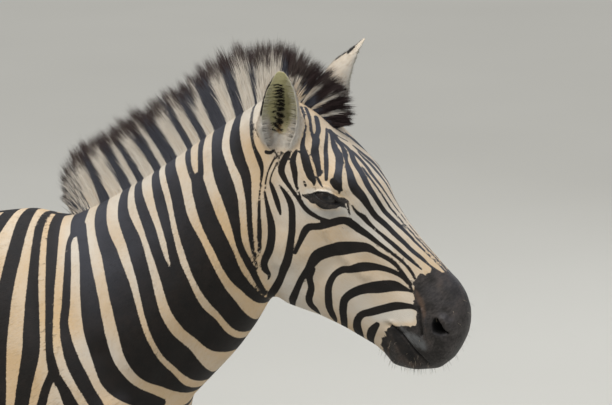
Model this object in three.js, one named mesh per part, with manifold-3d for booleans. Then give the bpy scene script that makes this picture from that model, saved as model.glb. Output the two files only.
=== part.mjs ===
// A plains zebra, life size, standing with its neck stretched out and its nose lowered to browse.
// Millimetres: +X runs from tail to head, +Y to the animal's left, +Z up. The four soles stand on Z = 0.
// Every part is a loft through oval sections. A section runs from its top point to its bottom point in the
// animal's middle plane and bulges to both sides. Flesh, hair and horn are parted with thin cuts.
import * as THREE from "three";
import { mergeVertices } from "three/addons/utils/BufferGeometryUtils.js";
import Module from "manifold-3d";

// ---- driving dimensions ----
const WITHERS_HEIGHT = 1300; // ground to the top of the shoulders, where the mane ends
const GAP = 0.4; // thin cut between neighbouring parts
const HEAD_TILT = 51; // degrees that the line of the face slopes down from the horizontal
const POLL = [497, 1545]; // X and Z of the top of the head, between the ears
const EYE = { along: 185, down: 44, out: 80, radius: 23.5 }; // centre of the eyeball, in the head's own frame
const EAR_LENGTH = 166;
const EAR_WALL = 5;
const MANE_HALF = 15; // half thickness of the upright mane at its roots
const HEAD_SEAM = { x: 452, z: 1300, lean: -2 }; // the cut between head and neck, lean in degrees off upright
const NECK_SEAM = { x: 118, z: 1125, lean: -35 }; // the cut between neck and trunk, from withers to breast
const HOOF_HEIGHT = 76;

const wasm = await Module();
wasm.setup();

const scale = WITHERS_HEIGHT / 1300; // the section tables are drawn for a zebra 1300 mm tall

// ---- colours ----
const coat = () => new THREE.MeshStandardMaterial({ color: 0xd9cdbb, roughness: 0.75, metalness: 0 });
const hair = () => new THREE.MeshStandardMaterial({ color: 0x2a211d, roughness: 0.85, metalness: 0 });
const horn = () => new THREE.MeshStandardMaterial({ color: 0x3a3431, roughness: 0.55, metalness: 0 });
const cornea = () => new THREE.MeshStandardMaterial({ color: 0x120d0a, roughness: 0.08, metalness: 0 });

// ---- solids and meshes ----
// The geometry as a manifold solid, turned the right way round if its faces point inwards.
function solidOf(geometry) {
  const bare = geometry.index ? geometry.toNonIndexed() : geometry.clone();
  bare.deleteAttribute("normal");
  bare.deleteAttribute("uv");
  const merged = mergeVertices(bare, 1e-3);
  const vertProperties = new Float32Array(merged.attributes.position.array);
  const triVerts = new Uint32Array(merged.index.array);
  const made = new wasm.Manifold(new wasm.Mesh({ numProp: 3, vertProperties, triVerts }));
  if (made.volume() > 0) return made;
  for (let i = 0; i < triVerts.length; i += 3) {
    [triVerts[i + 1], triVerts[i + 2]] = [triVerts[i + 2], triVerts[i + 1]];
  }
  return new wasm.Manifold(new wasm.Mesh({ numProp: 3, vertProperties, triVerts }));
}

// A huge block on the head's side of a seam (or the tail's, for ahead = -1), set back by half the gap.
function sideOf({ x, z, lean }, ahead) {
  const size = 6000;
  const block = new THREE.BoxGeometry(size, size, size);
  block.translate((ahead * (size + GAP)) / 2, 0, 0);
  block.rotateY(THREE.MathUtils.degToRad(lean));
  block.translate(x * scale, 0, z * scale);
  return solidOf(block);
}

const joined = (first, ...others) => others.reduce((sum, other) => sum.add(other), first);
const cut = (first, ...others) => others.reduce((left, other) => left.subtract(other), first);

// The largest piece of a solid that a cut may have left in several.
function largest(solid) {
  return solid.decompose().reduce((a, b) => (a.volume() > b.volume() ? a : b));
}

// A named mesh made from the largest piece of a solid.
function meshOf(name, solid, material) {
  const { vertProperties, triVerts, numProp, numVert } = largest(solid).getMesh();
  const points = new Float32Array(numVert * 3);
  for (let i = 0; i < numVert; i++) points.set(vertProperties.subarray(i * numProp, i * numProp + 3), i * 3);
  const geometry = new THREE.BufferGeometry();
  geometry.setAttribute("position", new THREE.BufferAttribute(points, 3));
  geometry.setIndex(new THREE.BufferAttribute(triVerts, 1));
  geometry.computeVertexNormals();
  const mesh = new THREE.Mesh(geometry, material);
  mesh.name = name;
  return mesh;
}

// ---- sections and lofts ----
// A section: top and bottom points [X, Z], half width, where between top (0) and bottom (1) it is widest,
// how pointed (1) or round (2) or square (3) its upper and lower parts are, and the Y of its middle.
const section = (top, bottom, half, level = 0.5, upper = 2, lower = 2, y = 0) => ({
  top: new THREE.Vector3(top[0], y, top[1]),
  bottom: new THREE.Vector3(bottom[0], y, bottom[1]),
  form: new THREE.Vector3(half, level, upper),
  lower,
});

// The sections between the given ones, on smooth curves through them.
function between(sections, steps) {
  const curve = (key) => new THREE.CatmullRomCurve3(sections.map((s) => s[key]), false, "catmullrom", 0.5);
  const [top, bottom, form] = ["top", "bottom", "form"].map(curve);
  const spans = sections.length - 1;
  return Array.from({ length: spans * steps + 1 }, (_, i) => {
    const t = i / (spans * steps);
    const low = Math.min(Math.floor(t * spans), spans - 1);
    const share = t * spans - low;
    const lower = sections[low].lower * (1 - share) + sections[low + 1].lower * share;
    return { top: top.getPoint(t), bottom: bottom.getPoint(t), form: form.getPoint(t), lower };
  });
}

// The points of one section, as a closed ring. Growing it by a gap makes the cutter for its neighbours.
function ringOf({ top, bottom, form, lower }, count, grow) {
  const [half, level, upper] = form.toArray();
  const widest = top.clone().lerp(bottom, level);
  const up = top.clone().sub(bottom).normalize();
  const power = (value, exponent) => Math.sign(value) * Math.abs(value) ** (2 / exponent);
  return Array.from({ length: count }, (_, i) => {
    const angle = (2 * Math.PI * i) / count;
    const above = Math.cos(angle) > 0;
    const reach = (above ? top : bottom).distanceTo(widest) + grow;
    const exponent = above ? upper : lower;
    const point = widest.clone().addScaledVector(up, reach * power(Math.cos(angle), exponent));
    point.y += (half + grow) * power(Math.sin(angle), exponent);
    return point;
  });
}

const middleOf = (ring) => ring.reduce((sum, p) => sum.add(p), new THREE.Vector3()).divideScalar(ring.length);

// A closed surface through rings of equal count, with a flat fan on each end.
function skinOf(rings) {
  const count = rings[0].length;
  const points = [...rings.flat(), middleOf(rings[0]), middleOf(rings.at(-1))];
  const [first, last] = [points.length - 2, points.length - 1];
  const end = (rings.length - 1) * count;
  const index = [];
  for (let i = 0; i < count; i++) {
    const j = (i + 1) % count;
    for (let row = 0; row < end; row += count) {
      index.push(row + i, row + j, row + count + j, row + i, row + count + j, row + count + i);
    }
    index.push(first, j, i, last, end + i, end + j);
  }
  const geometry = new THREE.BufferGeometry().setFromPoints(points);
  geometry.setIndex(index);
  return geometry;
}

// Moves an end ring out along the loft, away from the ring next to it.
function pushed(ring, next, distance) {
  const out = middleOf(ring).sub(middleOf(next)).setLength(distance);
  for (const point of ring) point.add(out);
}

// A solid lofted through sections.
function loft(sections, { steps = 1, count = 20, grow = 0 } = {}) {
  const rings = between(sections, steps).map((s) => ringOf(s, count, grow));
  if (grow > 0) {
    pushed(rings[0], rings[1], grow);
    pushed(rings.at(-1), rings.at(-2), grow);
  }
  for (const point of rings.flat()) point.multiplyScalar(scale);
  return solidOf(skinOf(rings));
}

// ---- trunk ----
// X of each section, top Z, bottom Z, half width, level of the widest place, upper and lower roundness.
const TRUNK = [
  [252, 985, 870, 50, 0.5, 2, 2],
  [240, 1020, 820, 95, 0.5, 2, 2],
  [205, 1090, 768, 145, 0.5, 2, 2],
  [150, 1160, 730, 178, 0.5, 2, 2],
  [75, 1240, 706, 188, 0.55, 1.8, 2],
  [0, 1288, 695, 203, 0.58, 1.6, 2.1],
  [-55, 1300, 688, 216, 0.58, 1.6, 2.1],
  [-140, 1283, 676, 233, 0.57, 1.75, 2.1],
  [-300, 1258, 655, 254, 0.57, 1.9, 2.1],
  [-460, 1246, 648, 263, 0.57, 2, 2.1],
  [-600, 1250, 664, 260, 0.55, 2, 2.1],
  [-720, 1266, 700, 248, 0.5, 2, 2.1],
  [-820, 1280, 745, 235, 0.45, 2, 2],
  [-910, 1278, 790, 220, 0.42, 2, 2],
  [-985, 1254, 830, 194, 0.42, 2, 2],
  [-1040, 1216, 872, 162, 0.45, 2, 2],
  [-1068, 1165, 925, 105, 0.5, 2, 2],
  [-1078, 1110, 985, 45, 0.5, 2, 2],
];

// ---- neck ----
// Top point on the crest, bottom point on the throat, half width.
const NECK = [
  [[-70, 1235], [150, 850], 196],
  [[15, 1286], [238, 892], 184],
  [[80, 1318], [280, 940], 164],
  [[150, 1360], [322, 985], 143],
  [[225, 1410], [364, 1030], 126],
  [[300, 1464], [398, 1076], 114],
  [[365, 1512], [424, 1118], 106],
  [[425, 1540], [448, 1170], 98],
  [[472, 1538], [475, 1230], 86],
  [[500, 1505], [500, 1290], 60],
];

// ---- head, in its own frame: distance along the face from the poll, height off the line of the face ----
const faceDown = THREE.MathUtils.degToRad(HEAD_TILT);
const headPoint = (along, height) => [
  POLL[0] + along * Math.cos(faceDown) + height * Math.sin(faceDown),
  POLL[1] - along * Math.sin(faceDown) + height * Math.cos(faceDown),
];

// Along, top, bottom, half width, level of the widest place, upper and lower roundness.
const HEAD = [
  [-42, -42, -130, 30, 0.5, 2, 2],
  [-30, -22, -162, 52, 0.5, 2, 2],
  [0, 0, -208, 72, 0.45, 2, 2],
  [45, 18, -246, 86, 0.42, 2.2, 2],
  [95, 28, -266, 92, 0.38, 2.4, 1.9],
  [145, 31, -274, 95, 0.34, 2.8, 1.8],
  [190, 33, -276, 96, 0.3, 3.1, 1.8],
  [230, 34, -284, 90, 0.32, 2.5, 1.9],
  [268, 30, -286, 80, 0.38, 2, 2.1],
  [290, 28, -277, 75, 0.4, 2, 2.1],
  [314, 27, -260, 70, 0.42, 2, 2.2],
  [350, 28, -233, 63, 0.44, 2, 2.2],
  [390, 32, -210, 57, 0.45, 2, 2.1],
  [430, 34, -190, 54, 0.45, 2.1, 2],
  [460, 36, -174, 55, 0.45, 2.2, 2],
  [485, 32, -168, 58, 0.44, 2.2, 2],
  [508, 23, -168, 58, 0.45, 2.2, 2],
  [528, 8, -152, 54, 0.46, 2.2, 2],
  [545, -12, -129, 48, 0.48, 2.2, 2],
  [558, -38, -110, 38, 0.5, 2, 2],
  [566, -60, -96, 20, 0.5, 2, 2],
];

// An ellipsoid in the head's frame, long axis along the face, mirrored to each side by the sign of out.
function headBall(along, height, out, [length, breadth, depth], detail = [12, 8]) {
  const ball = new THREE.SphereGeometry(1, ...detail);
  ball.rotateX(Math.PI / 2);
  ball.scale(length, breadth, depth);
  ball.rotateY(faceDown);
  const [x, z] = headPoint(along, height);
  ball.translate(x, out, z);
  ball.scale(scale, scale, scale);
  return solidOf(ball);
}

// The eyeball, or with grow the socket that it sits in.
const eyeball = (side, grow = 0) =>
  headBall(EYE.along, -EYE.down, side * EYE.out, [1, 1, 1].map(() => EYE.radius + grow), [12, 8]);

// The lips part along a slot that curves from the corner of the mouth to its front.
function mouthSlot() {
  const line = [[450, -114], [466, -104], [490, -100], [520, -101], [550, -104], [580, -106]];
  const sections = line.map(([along, height], i) => {
    const open = i === 0 ? 0.6 : 1.6;
    return section(headPoint(along, height + open), headPoint(along, height - open), 75, 0.5, 6, 6);
  });
  return loft(sections, { count: 12 });
}

function headSolid(grow = 0) {
  const sections = HEAD.map(([along, top, bottom, ...form]) =>
    section(headPoint(along, top), headPoint(along, bottom), ...form),
  );
  const core = loft(sections, { count: 22, grow });
  const bumps = [1, -1].flatMap((side) => [
    headBall(178, -10, side * 64, [46 + grow, 30 + grow, 29 + grow]), // brow above the eye
    headBall(205, -150, side * 45, [84 + grow, 43 + grow, 88 + grow]), // cheek
    headBall(500, -28, side * 34, [30 + grow, 26 + grow, 34 + grow]), // wing of the nostril
  ]);
  return joined(core, ...bumps);
}

function headOpenings() {
  const pairs = [1, -1].flatMap((side) => [
    eyeball(side, GAP),
    headBall(505, -27, side * 57, [17, 18, 9]), // nostril
  ]);
  return [...pairs, mouthSlot()];
}

// ---- ears ----
// Share of the length, half width, radius from front to back, half angle that the wall wraps round, how far
// the middle lies towards the mouth. The cup is deep and nearly closed below, and flattens to a leaf above.
const EAR = [
  [-0.16, 21, 21, 175, 7],
  [0.02, 31, 29, 168, 9],
  [0.15, 37, 34, 142, 9],
  [0.3, 39, 37, 124, 8],
  [0.45, 38.5, 38, 114, 5],
  [0.6, 34.5, 31.5, 106, 4.5],
  [0.75, 28, 19, 100, 4.5],
  [0.87, 20.5, 11, 94, 5],
  [0.95, 13, 8, 88, 6],
  [1.0, 6, 5.5, 84, 6.5],
];

// One ear: a wall bent round its axis, open towards `facing`, from its root to its tip.
function earSolid(root, tip, facing, grow = 0) {
  const start = new THREE.Vector3(...root);
  const axis = new THREE.Vector3(...tip).sub(start).normalize();
  const open = new THREE.Vector3(...facing);
  open.addScaledVector(axis, -open.dot(axis)).normalize();
  const across = new THREE.Vector3().crossVectors(axis, open);
  const steps = 8; // points along half of the wall
  const rings = EAR.map(([share, half, deep, wrap, ahead]) => {
    const spread = THREE.MathUtils.degToRad(wrap);
    const centre = start.clone().addScaledVector(axis, share * EAR_LENGTH).addScaledVector(open, ahead);
    const arc = (inset, reversed) =>
      Array.from({ length: steps }, (_, i) => {
        const angle = spread * ((2 * i) / (steps - 1) - 1) * (reversed ? -1 : 1);
        return centre
          .clone()
          .addScaledVector(open, -Math.cos(angle) * (deep - inset))
          .addScaledVector(across, Math.sin(angle) * (half - inset));
      });
    const wall = Math.min(EAR_WALL, deep * 0.55);
    return [...arc(-grow, false), ...arc(wall + grow, true)];
  });
  for (const point of rings.flat()) point.multiplyScalar(scale);
  return solidOf(skinOf(rings));
}

const EARS = {
  right: { root: [478, -56, 1455], tip: [499, -105, 1613], facing: [0.25, -1, 0] },
  left: { root: [520, 52, 1508], tip: [596, 82, 1652], facing: [1, 0.3, 0] },
};

// ---- mane: roots on the crest of the neck, tips out in the air, from the withers to the forelock ----
const MANE = [
  [[8, 1290], [-12, 1330], 8],
  [[40, 1296], [8, 1386], 13],
  [[85, 1312], [44, 1426], MANE_HALF],
  [[150, 1352], [100, 1466], MANE_HALF],
  [[225, 1402], [172, 1518], MANE_HALF],
  [[300, 1456], [256, 1574], MANE_HALF],
  [[365, 1504], [340, 1628], MANE_HALF],
  [[425, 1530], [430, 1647], MANE_HALF + 1],
  [[475, 1530], [510, 1628], MANE_HALF + 2],
  [[515, 1505], [572, 1590], MANE_HALF + 3],
  [[545, 1480], [603, 1546], MANE_HALF + 3],
  [[565, 1462], [605, 1502], 12],
];

// ---- legs ----
// Z of each section, X of its front and its rear, half thickness, distance of its middle from the middle.
const FORE_UPPER = [
  [1120, 110, -20, 40, 130],
  [1060, 170, -42, 66, 138],
  [980, 214, -62, 80, 140],
  [900, 226, -74, 88, 140],
  [830, 196, -80, 84, 138],
  [765, 146, -74, 72, 134],
  [705, 112, -42, 60, 130],
  [630, 98, -20, 50, 126],
  [550, 90, -6, 43, 123],
  [480, 84, 0, 38, 121],
  [432, 90, -2, 41, 120],
];
const FORE_LOWER = [
  [432, 90, -2, 41, 120],
  [392, 87, 2, 38, 120],
  [350, 76, 10, 28, 119],
  [290, 68, 14, 23, 118],
  [215, 67, 12, 23, 117],
  [178, 70, 6, 27, 117],
  [150, 76, -3, 32, 117],
  [116, 87, 20, 26, 118],
  [92, 104, 22, 34, 118],
  [HOOF_HEIGHT, 112, 22, 38, 112],
];
const HIND_UPPER = [
  [1150, -850, -1000, 60, 120],
  [1080, -800, -1060, 92, 136],
  [990, -768, -1080, 104, 142],
  [900, -758, -1082, 106, 144],
  [820, -774, -1070, 96, 145],
  [745, -812, -1052, 78, 145],
  [680, -862, -1036, 60, 143],
  [620, -914, -1030, 47, 140],
  [570, -952, -1052, 40, 137],
  [530, -974, -1088, 37, 135],
  [488, -990, -1082, 36, 133],
];
const HIND_LOWER = [
  [488, -990, -1082, 36, 133],
  [440, -1001, -1070, 29, 131],
  [380, -1006, -1062, 24, 129],
  [290, -1008, -1060, 22, 127],
  [215, -1004, -1062, 24, 126],
  [180, -1000, -1066, 28, 126],
  [150, -994, -1072, 32, 126],
  [116, -980, -1046, 26, 126],
  [92, -962, -1042, 34, 126],
  [HOOF_HEIGHT, -954, -1040, 38, 122],
];
// Z, how far the front and the rear stand out from the top of the hoof, half thickness.
const HOOF = [
  [HOOF_HEIGHT, 0, 0, 39],
  [HOOF_HEIGHT - 12, 6, 1, 41],
  [6, 30, -2, 47],
  [0, 30, 0, 45],
];

// Each leg's name, side, the forward lean of its foot from a square stance, and its sections.
const LEGS = [
  { name: "fore_right", side: -1, lean: -46, upper: FORE_UPPER, lower: FORE_LOWER, pivot: 900 },
  { name: "fore_left", side: 1, lean: 52, upper: FORE_UPPER, lower: FORE_LOWER, pivot: 900 },
  { name: "hind_right", side: -1, lean: 60, upper: HIND_UPPER, lower: HIND_LOWER, pivot: 980 },
  { name: "hind_left", side: 1, lean: -44, upper: HIND_UPPER, lower: HIND_LOWER, pivot: 980 },
];

// The sections of a leg with its foot moved forward: the whole leg leans from its pivot height.
function legSections(leg, rows) {
  const shift = (z) => leg.lean * Math.max(0, 1 - z / leg.pivot);
  return rows.map(([z, front, rear, half, out]) =>
    section([front + shift(z), z], [rear + shift(z), z], half, 0.48, 2, 2, leg.side * out),
  );
}

function hoofSections(leg) {
  const [, front, rear, , out] = leg.lower.at(-1);
  const rows = HOOF.map(([z, ahead, behind, half]) => {
    const height = z === HOOF_HEIGHT ? z - GAP : z;
    return [height, front + ahead, rear - behind, half, out];
  });
  return legSections(leg, rows);
}

// Lowers the sections by the gap, so that two lofts that share a section don't touch.
const lowered = (sections) => {
  for (const key of ["top", "bottom"]) sections[0][key].z -= GAP;
  return sections;
};

// ---- tail: dock and the brush of long hair on its end ----
const TAIL = [
  [[-1040, 1228], [-1050, 1180], 20],
  [[-1082, 1212], [-1066, 1152], 30],
  [[-1116, 1165], [-1072, 1130], 28],
  [[-1136, 1090], [-1084, 1080], 25],
  [[-1140, 1000], [-1092, 998], 23],
  [[-1136, 900], [-1094, 902], 20],
  [[-1130, 800], [-1094, 804], 17],
];
const BRUSH = [
  [[-1132, 798], [-1092, 802], 19],
  [[-1140, 740], [-1088, 742], 26],
  [[-1146, 650], [-1086, 650], 32],
  [[-1148, 540], [-1090, 540], 32],
  [[-1142, 440], [-1098, 440], 24],
  [[-1130, 380], [-1112, 380], 10],
];

// ---- assembly ----
const roundSections = (rows) => rows.map(([top, bottom, half]) => section(top, bottom, half));
const neckSections = NECK.map(([top, bottom, half]) => section(top, bottom, half, 0.58, 1.7, 2.1));
const trunkSections = TRUNK.map(([x, top, bottom, ...form]) => section([x, top], [x, bottom], ...form));
const maneSections = MANE.map(([root, tip, half]) => section(tip, root, half, 0.8, 2.6, 3));

const trunkCutter = loft(trunkSections, { count: 28, grow: GAP });
const neckCutter = loft(neckSections, { count: 24, grow: GAP });
const headCutter = headSolid(GAP);
const core = joined(loft(trunkSections, { count: 28 }), loft(neckSections, { count: 24 }), headSolid());

const zebra = new THREE.Group();
const add = (name, solid, material) => zebra.add(meshOf(name, solid, material));

const legCutters = [];
for (const leg of LEGS) {
  const upperSections = legSections(leg, leg.upper);
  legCutters.push(loft(upperSections, { count: 14, grow: GAP }));
  add(`${leg.name}_upper`, cut(loft(upperSections, { count: 14 }), trunkCutter, neckCutter), coat());
  add(`${leg.name}_lower`, loft(lowered(legSections(leg, leg.lower)), { count: 14 }), coat());
  add(`${leg.name}_hoof`, loft(hoofSections(leg), { count: 16 }), horn());
}

const tailSolid = loft(roundSections(TAIL), { count: 12 });
const tailCutter = loft(roundSections(TAIL), { count: 12, grow: GAP });
add("trunk", core.intersect(sideOf(NECK_SEAM, -1)), coat());
add("neck", core.intersect(sideOf(NECK_SEAM, 1)).intersect(sideOf(HEAD_SEAM, -1)), coat());
add("tail", cut(tailSolid, trunkCutter, ...legCutters), coat());
add("tail_brush", cut(loft(roundSections(BRUSH), { count: 12 }), tailCutter), hair());

const earCutters = [];
for (const [side, { root, tip, facing }] of Object.entries(EARS)) {
  add(`ear_${side}`, cut(earSolid(root, tip, facing), headCutter, neckCutter), coat());
  earCutters.push(earSolid(root, tip, facing, GAP));
}
add("head", cut(core.intersect(sideOf(HEAD_SEAM, 1)), ...headOpenings()), coat());
const maneCutters = [neckCutter, headCutter, trunkCutter, ...earCutters];
add("mane", cut(loft(maneSections, { count: 14 }), ...maneCutters), hair());
add("eye_right", eyeball(-1), cornea());
add("eye_left", eyeball(1), cornea());

// The origin is on the ground, under the middle of the animal's outer box.
const box = new THREE.Box3().setFromObject(zebra);
zebra.position.set(-(box.min.x + box.max.x) / 2, -(box.min.y + box.max.y) / 2, 0);

export default zebra;
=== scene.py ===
"""A life-size plains zebra: hide, markings, coat, mane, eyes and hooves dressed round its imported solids.

Metres, +X towards the head, +Y to the animal's left, +Z up. Tables of places are in millimetres, which
MM turns into metres. The head has axes of its own: along the face from the poll, out to the left, and up
off the line of the face.
"""

import copy
import logging
import math
from dataclasses import dataclass, field
from enum import Enum
from typing import Optional, Sequence, Union

import bmesh
import bpy
import numpy as np
from bpy.types import Material, Mesh, NodeSocket, Object
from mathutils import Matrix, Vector
from mathutils.bvhtree import BVHTree


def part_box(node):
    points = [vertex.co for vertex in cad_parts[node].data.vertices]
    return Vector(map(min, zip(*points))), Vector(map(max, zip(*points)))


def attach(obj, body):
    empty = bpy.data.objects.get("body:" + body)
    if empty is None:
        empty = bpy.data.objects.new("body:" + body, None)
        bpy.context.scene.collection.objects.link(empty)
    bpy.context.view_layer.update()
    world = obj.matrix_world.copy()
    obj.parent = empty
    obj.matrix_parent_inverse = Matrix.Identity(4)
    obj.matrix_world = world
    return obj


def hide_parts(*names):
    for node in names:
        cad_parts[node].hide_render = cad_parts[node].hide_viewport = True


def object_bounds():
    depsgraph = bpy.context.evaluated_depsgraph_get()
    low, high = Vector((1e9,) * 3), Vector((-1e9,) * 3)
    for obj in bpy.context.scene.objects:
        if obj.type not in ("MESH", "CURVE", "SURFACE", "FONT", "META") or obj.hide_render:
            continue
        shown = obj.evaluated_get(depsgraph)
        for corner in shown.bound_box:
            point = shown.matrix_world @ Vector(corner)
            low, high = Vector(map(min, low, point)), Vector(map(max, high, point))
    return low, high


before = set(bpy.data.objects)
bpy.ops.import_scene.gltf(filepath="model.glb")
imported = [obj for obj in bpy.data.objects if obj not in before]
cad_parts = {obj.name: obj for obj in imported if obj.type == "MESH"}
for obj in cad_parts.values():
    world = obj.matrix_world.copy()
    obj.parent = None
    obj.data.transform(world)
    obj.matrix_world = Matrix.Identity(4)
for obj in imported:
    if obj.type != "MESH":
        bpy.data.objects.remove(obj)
CAD_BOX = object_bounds()

LOG = logging.getLogger("zebra")
MM = 0.001
SIDES = (-1, 1)  # the animal's right, then its left
SIDEWAYS = (0.0, 1.0, 0.0)
Array = np.ndarray
Place = tuple[float, float, float]
Colour = tuple[float, float, float, float]


# ---- numbers ----
def eased(low: float, high: float, value: Array) -> Array:
    """A smooth step from 0 at low to 1 at high."""
    share = np.clip((value - low) / (high - low), 0.0, 1.0)
    return share * share * (3.0 - 2.0 * share)


def unit(vectors: Array) -> Array:
    """The rows scaled to length 1."""
    return vectors / (np.linalg.norm(vectors, axis=-1, keepdims=True) + 1e-12)


def mixed(a: Array, b: Array, share: Array) -> Array:
    """Goes from a to b as share goes from 0 to 1."""
    return a + (b - a) * share


def hump(away: Array, width: float) -> Array:
    """A rounded peak: 1 where away is 0, down to about a third at a width to either side."""
    return np.exp(-((away / width) ** 2))


def wobble(points: Array, size: float, seed: int) -> Array:
    """Smooth made-up noise from about -1 to 1.

    Args:
        points: Places, one in each row.
        size: Length of its waves, in metres.
        seed: Picks one noise among many.

    Returns:
        One value for each place.
    """
    rng = np.random.default_rng(seed)
    total = np.zeros(len(points))
    for octave in range(5):
        wave = rng.normal(size=3)
        wave *= 2.0 * math.pi / (size * np.linalg.norm(wave)) * (0.7 + 0.3 * octave)
        total += np.sin(points @ wave + rng.uniform(0.0, 2.0 * math.pi)) / 3.0
    return total


def smooth_run(places: Sequence[Sequence[float]], step: float) -> Array:
    """Points on a Catmull-Rom curve through places, about a step apart over their first two values."""
    rows = np.array(places, float)
    rows = np.vstack([2 * rows[0] - rows[1], rows, 2 * rows[-1] - rows[-2]])
    run = []
    for a, b, c, d in zip(rows, rows[1:], rows[2:], rows[3:]):
        count = max(2, int(np.linalg.norm((c - b)[:2]) / step))
        t = np.arange(count)[:, None] / count
        square = (2 * a - 5 * b + 4 * c - d) * t**2
        cube = (3 * b - a - 3 * c + d) * t**3
        run.append(0.5 * (2 * b + (c - a) * t + square + cube))
    run.append(rows[-2:-1])
    return np.vstack(run)


def reach_inside(points: Array, line: Array, half: Array) -> Array:
    """How far each point lies inside a band along a line, negative outside it.

    Args:
        points: Places, in two or three dimensions.
        line: Points of the line, in as many dimensions.
        half: Half width of the band at each point of the line.

    Returns:
        The depth in the band for each place.
    """
    best = np.full(len(points), -np.inf)
    for a, b, half_a, half_b in zip(line, line[1:], half, half[1:]):
        run = b - a
        share = np.clip((points - a) @ run / (run @ run + 1e-12), 0.0, 1.0)
        away = np.linalg.norm(points - a - share[:, None] * run, axis=1)
        best = np.maximum(best, half_a + (half_b - half_a) * share - away)
    return best


def away_from(points: Array, line: Array) -> Array:
    """How far each point lies from a line."""
    return -reach_inside(points, line, np.zeros(len(line)))


# ---- meshes ----
def box_of(node: str) -> tuple[Array, Array]:
    """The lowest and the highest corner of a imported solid's box."""
    low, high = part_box(node)
    return np.array(low), np.array(high)


def points_of(mesh: Mesh) -> Array:
    """The places of a mesh's vertices."""
    co = np.empty(len(mesh.vertices) * 3)
    mesh.vertices.foreach_get("co", co)
    return co.reshape(-1, 3)


def set_points(mesh: Mesh, points: Array) -> None:
    """Moves a mesh's vertices to new places."""
    mesh.vertices.foreach_set("co", points.astype(np.float32).ravel())
    mesh.update()


def triangles_of(mesh: Mesh) -> Array:
    """A mesh's triangles, as three vertex numbers each."""
    mesh.calc_loop_triangles()
    corners = np.empty(len(mesh.loop_triangles) * 3, np.int32)
    mesh.loop_triangles.foreach_get("vertices", corners)
    return corners.reshape(-1, 3)


def edges_of(mesh: Mesh) -> Array:
    """A mesh's edges, as two vertex numbers each."""
    ends = np.empty(len(mesh.edges) * 2, np.int32)
    mesh.edges.foreach_get("vertices", ends)
    return ends.reshape(-1, 2)


def gathered(numbers: Array, vectors: Array, count: int) -> Array:
    """Sums vectors, one for each vertex number, over each of a count of vertices."""
    return np.stack([np.bincount(numbers, vectors[:, axis], count) for axis in range(3)], -1)


def normals_of(points: Array, triangles: Array) -> Array:
    """Vertex normals, weighted by the area of the faces round each vertex."""
    a, b, c = (points[triangles[:, k]] for k in range(3))
    faces = np.cross(b - a, c - a)
    return unit(sum(gathered(triangles[:, k], faces, len(points)) for k in range(3)))


def merged_copy(node: str) -> tuple[Array, Array]:
    """Points and triangles of a CAD node, with its doubled vertices merged."""
    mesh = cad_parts[node].data
    points, inverse = np.unique(np.round(points_of(mesh), 6), axis=0, return_inverse=True)
    return points, inverse.ravel()[triangles_of(mesh)]


def mesh_object(name: str, points: Array, corners: Array, sizes: Array) -> Object:
    """A new object from points and faces.

    Args:
        name: The piece's name.
        points: Places of its vertices.
        corners: Vertex numbers of all faces, one after another.
        sizes: Number of corners of each face.

    Returns:
        The object, linked to the scene and smoothly shaded.
    """
    mesh = bpy.data.meshes.new(name)
    mesh.vertices.add(len(points))
    mesh.vertices.foreach_set("co", points.astype(np.float32).ravel())
    mesh.loops.add(len(corners))
    mesh.loops.foreach_set("vertex_index", corners.astype(np.int32))
    mesh.polygons.add(len(sizes))
    starts = np.concatenate([[0], np.cumsum(sizes)[:-1]])
    mesh.polygons.foreach_set("loop_start", starts.astype(np.int32))
    mesh.update(calc_edges=True)
    mesh.shade_smooth()
    piece = bpy.data.objects.new(name, mesh)
    bpy.context.scene.collection.objects.link(piece)
    return piece


def only(piece: Object) -> None:
    """Selects one object and makes it active."""
    bpy.ops.object.select_all(action="DESELECT")
    bpy.context.view_layer.objects.active = piece
    piece.select_set(True)


def add_skin(piece: Object, voxel: float) -> None:
    """Adds a modifier that wraps an object's solids in one even skin, with faces a voxel wide."""
    remesh = piece.modifiers.new("skin", "REMESH")
    remesh.mode = "VOXEL"
    remesh.voxel_size = voxel


def apply_all(piece: Object) -> None:
    """Applies an object's modifiers in order."""
    only(piece)
    for modifier in list(piece.modifiers):
        bpy.ops.object.modifier_apply(modifier=modifier.name)


def paint(piece: Object, name: str, values: Array) -> None:
    """Stores one number, or one vector, for each vertex under a name that materials read."""
    kind, key = ("FLOAT", "value") if values.ndim == 1 else ("FLOAT_VECTOR", "vector")
    layer = piece.data.attributes.get(name) or piece.data.attributes.new(name, kind, "POINT")
    layer.data.foreach_set(key, values.astype(np.float32).ravel())


def worn(piece: Object, material: Material) -> Object:
    """Gives a finished piece its material and slot, and lets it ride on the body."""
    piece.data.materials.clear()
    piece.data.materials.append(material)
    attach(piece, "root")
    faces = sum(len(p.vertices) - 2 for p in piece.data.polygons)
    LOG.info("%s: %d triangles", piece.name, faces)
    return piece


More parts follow.
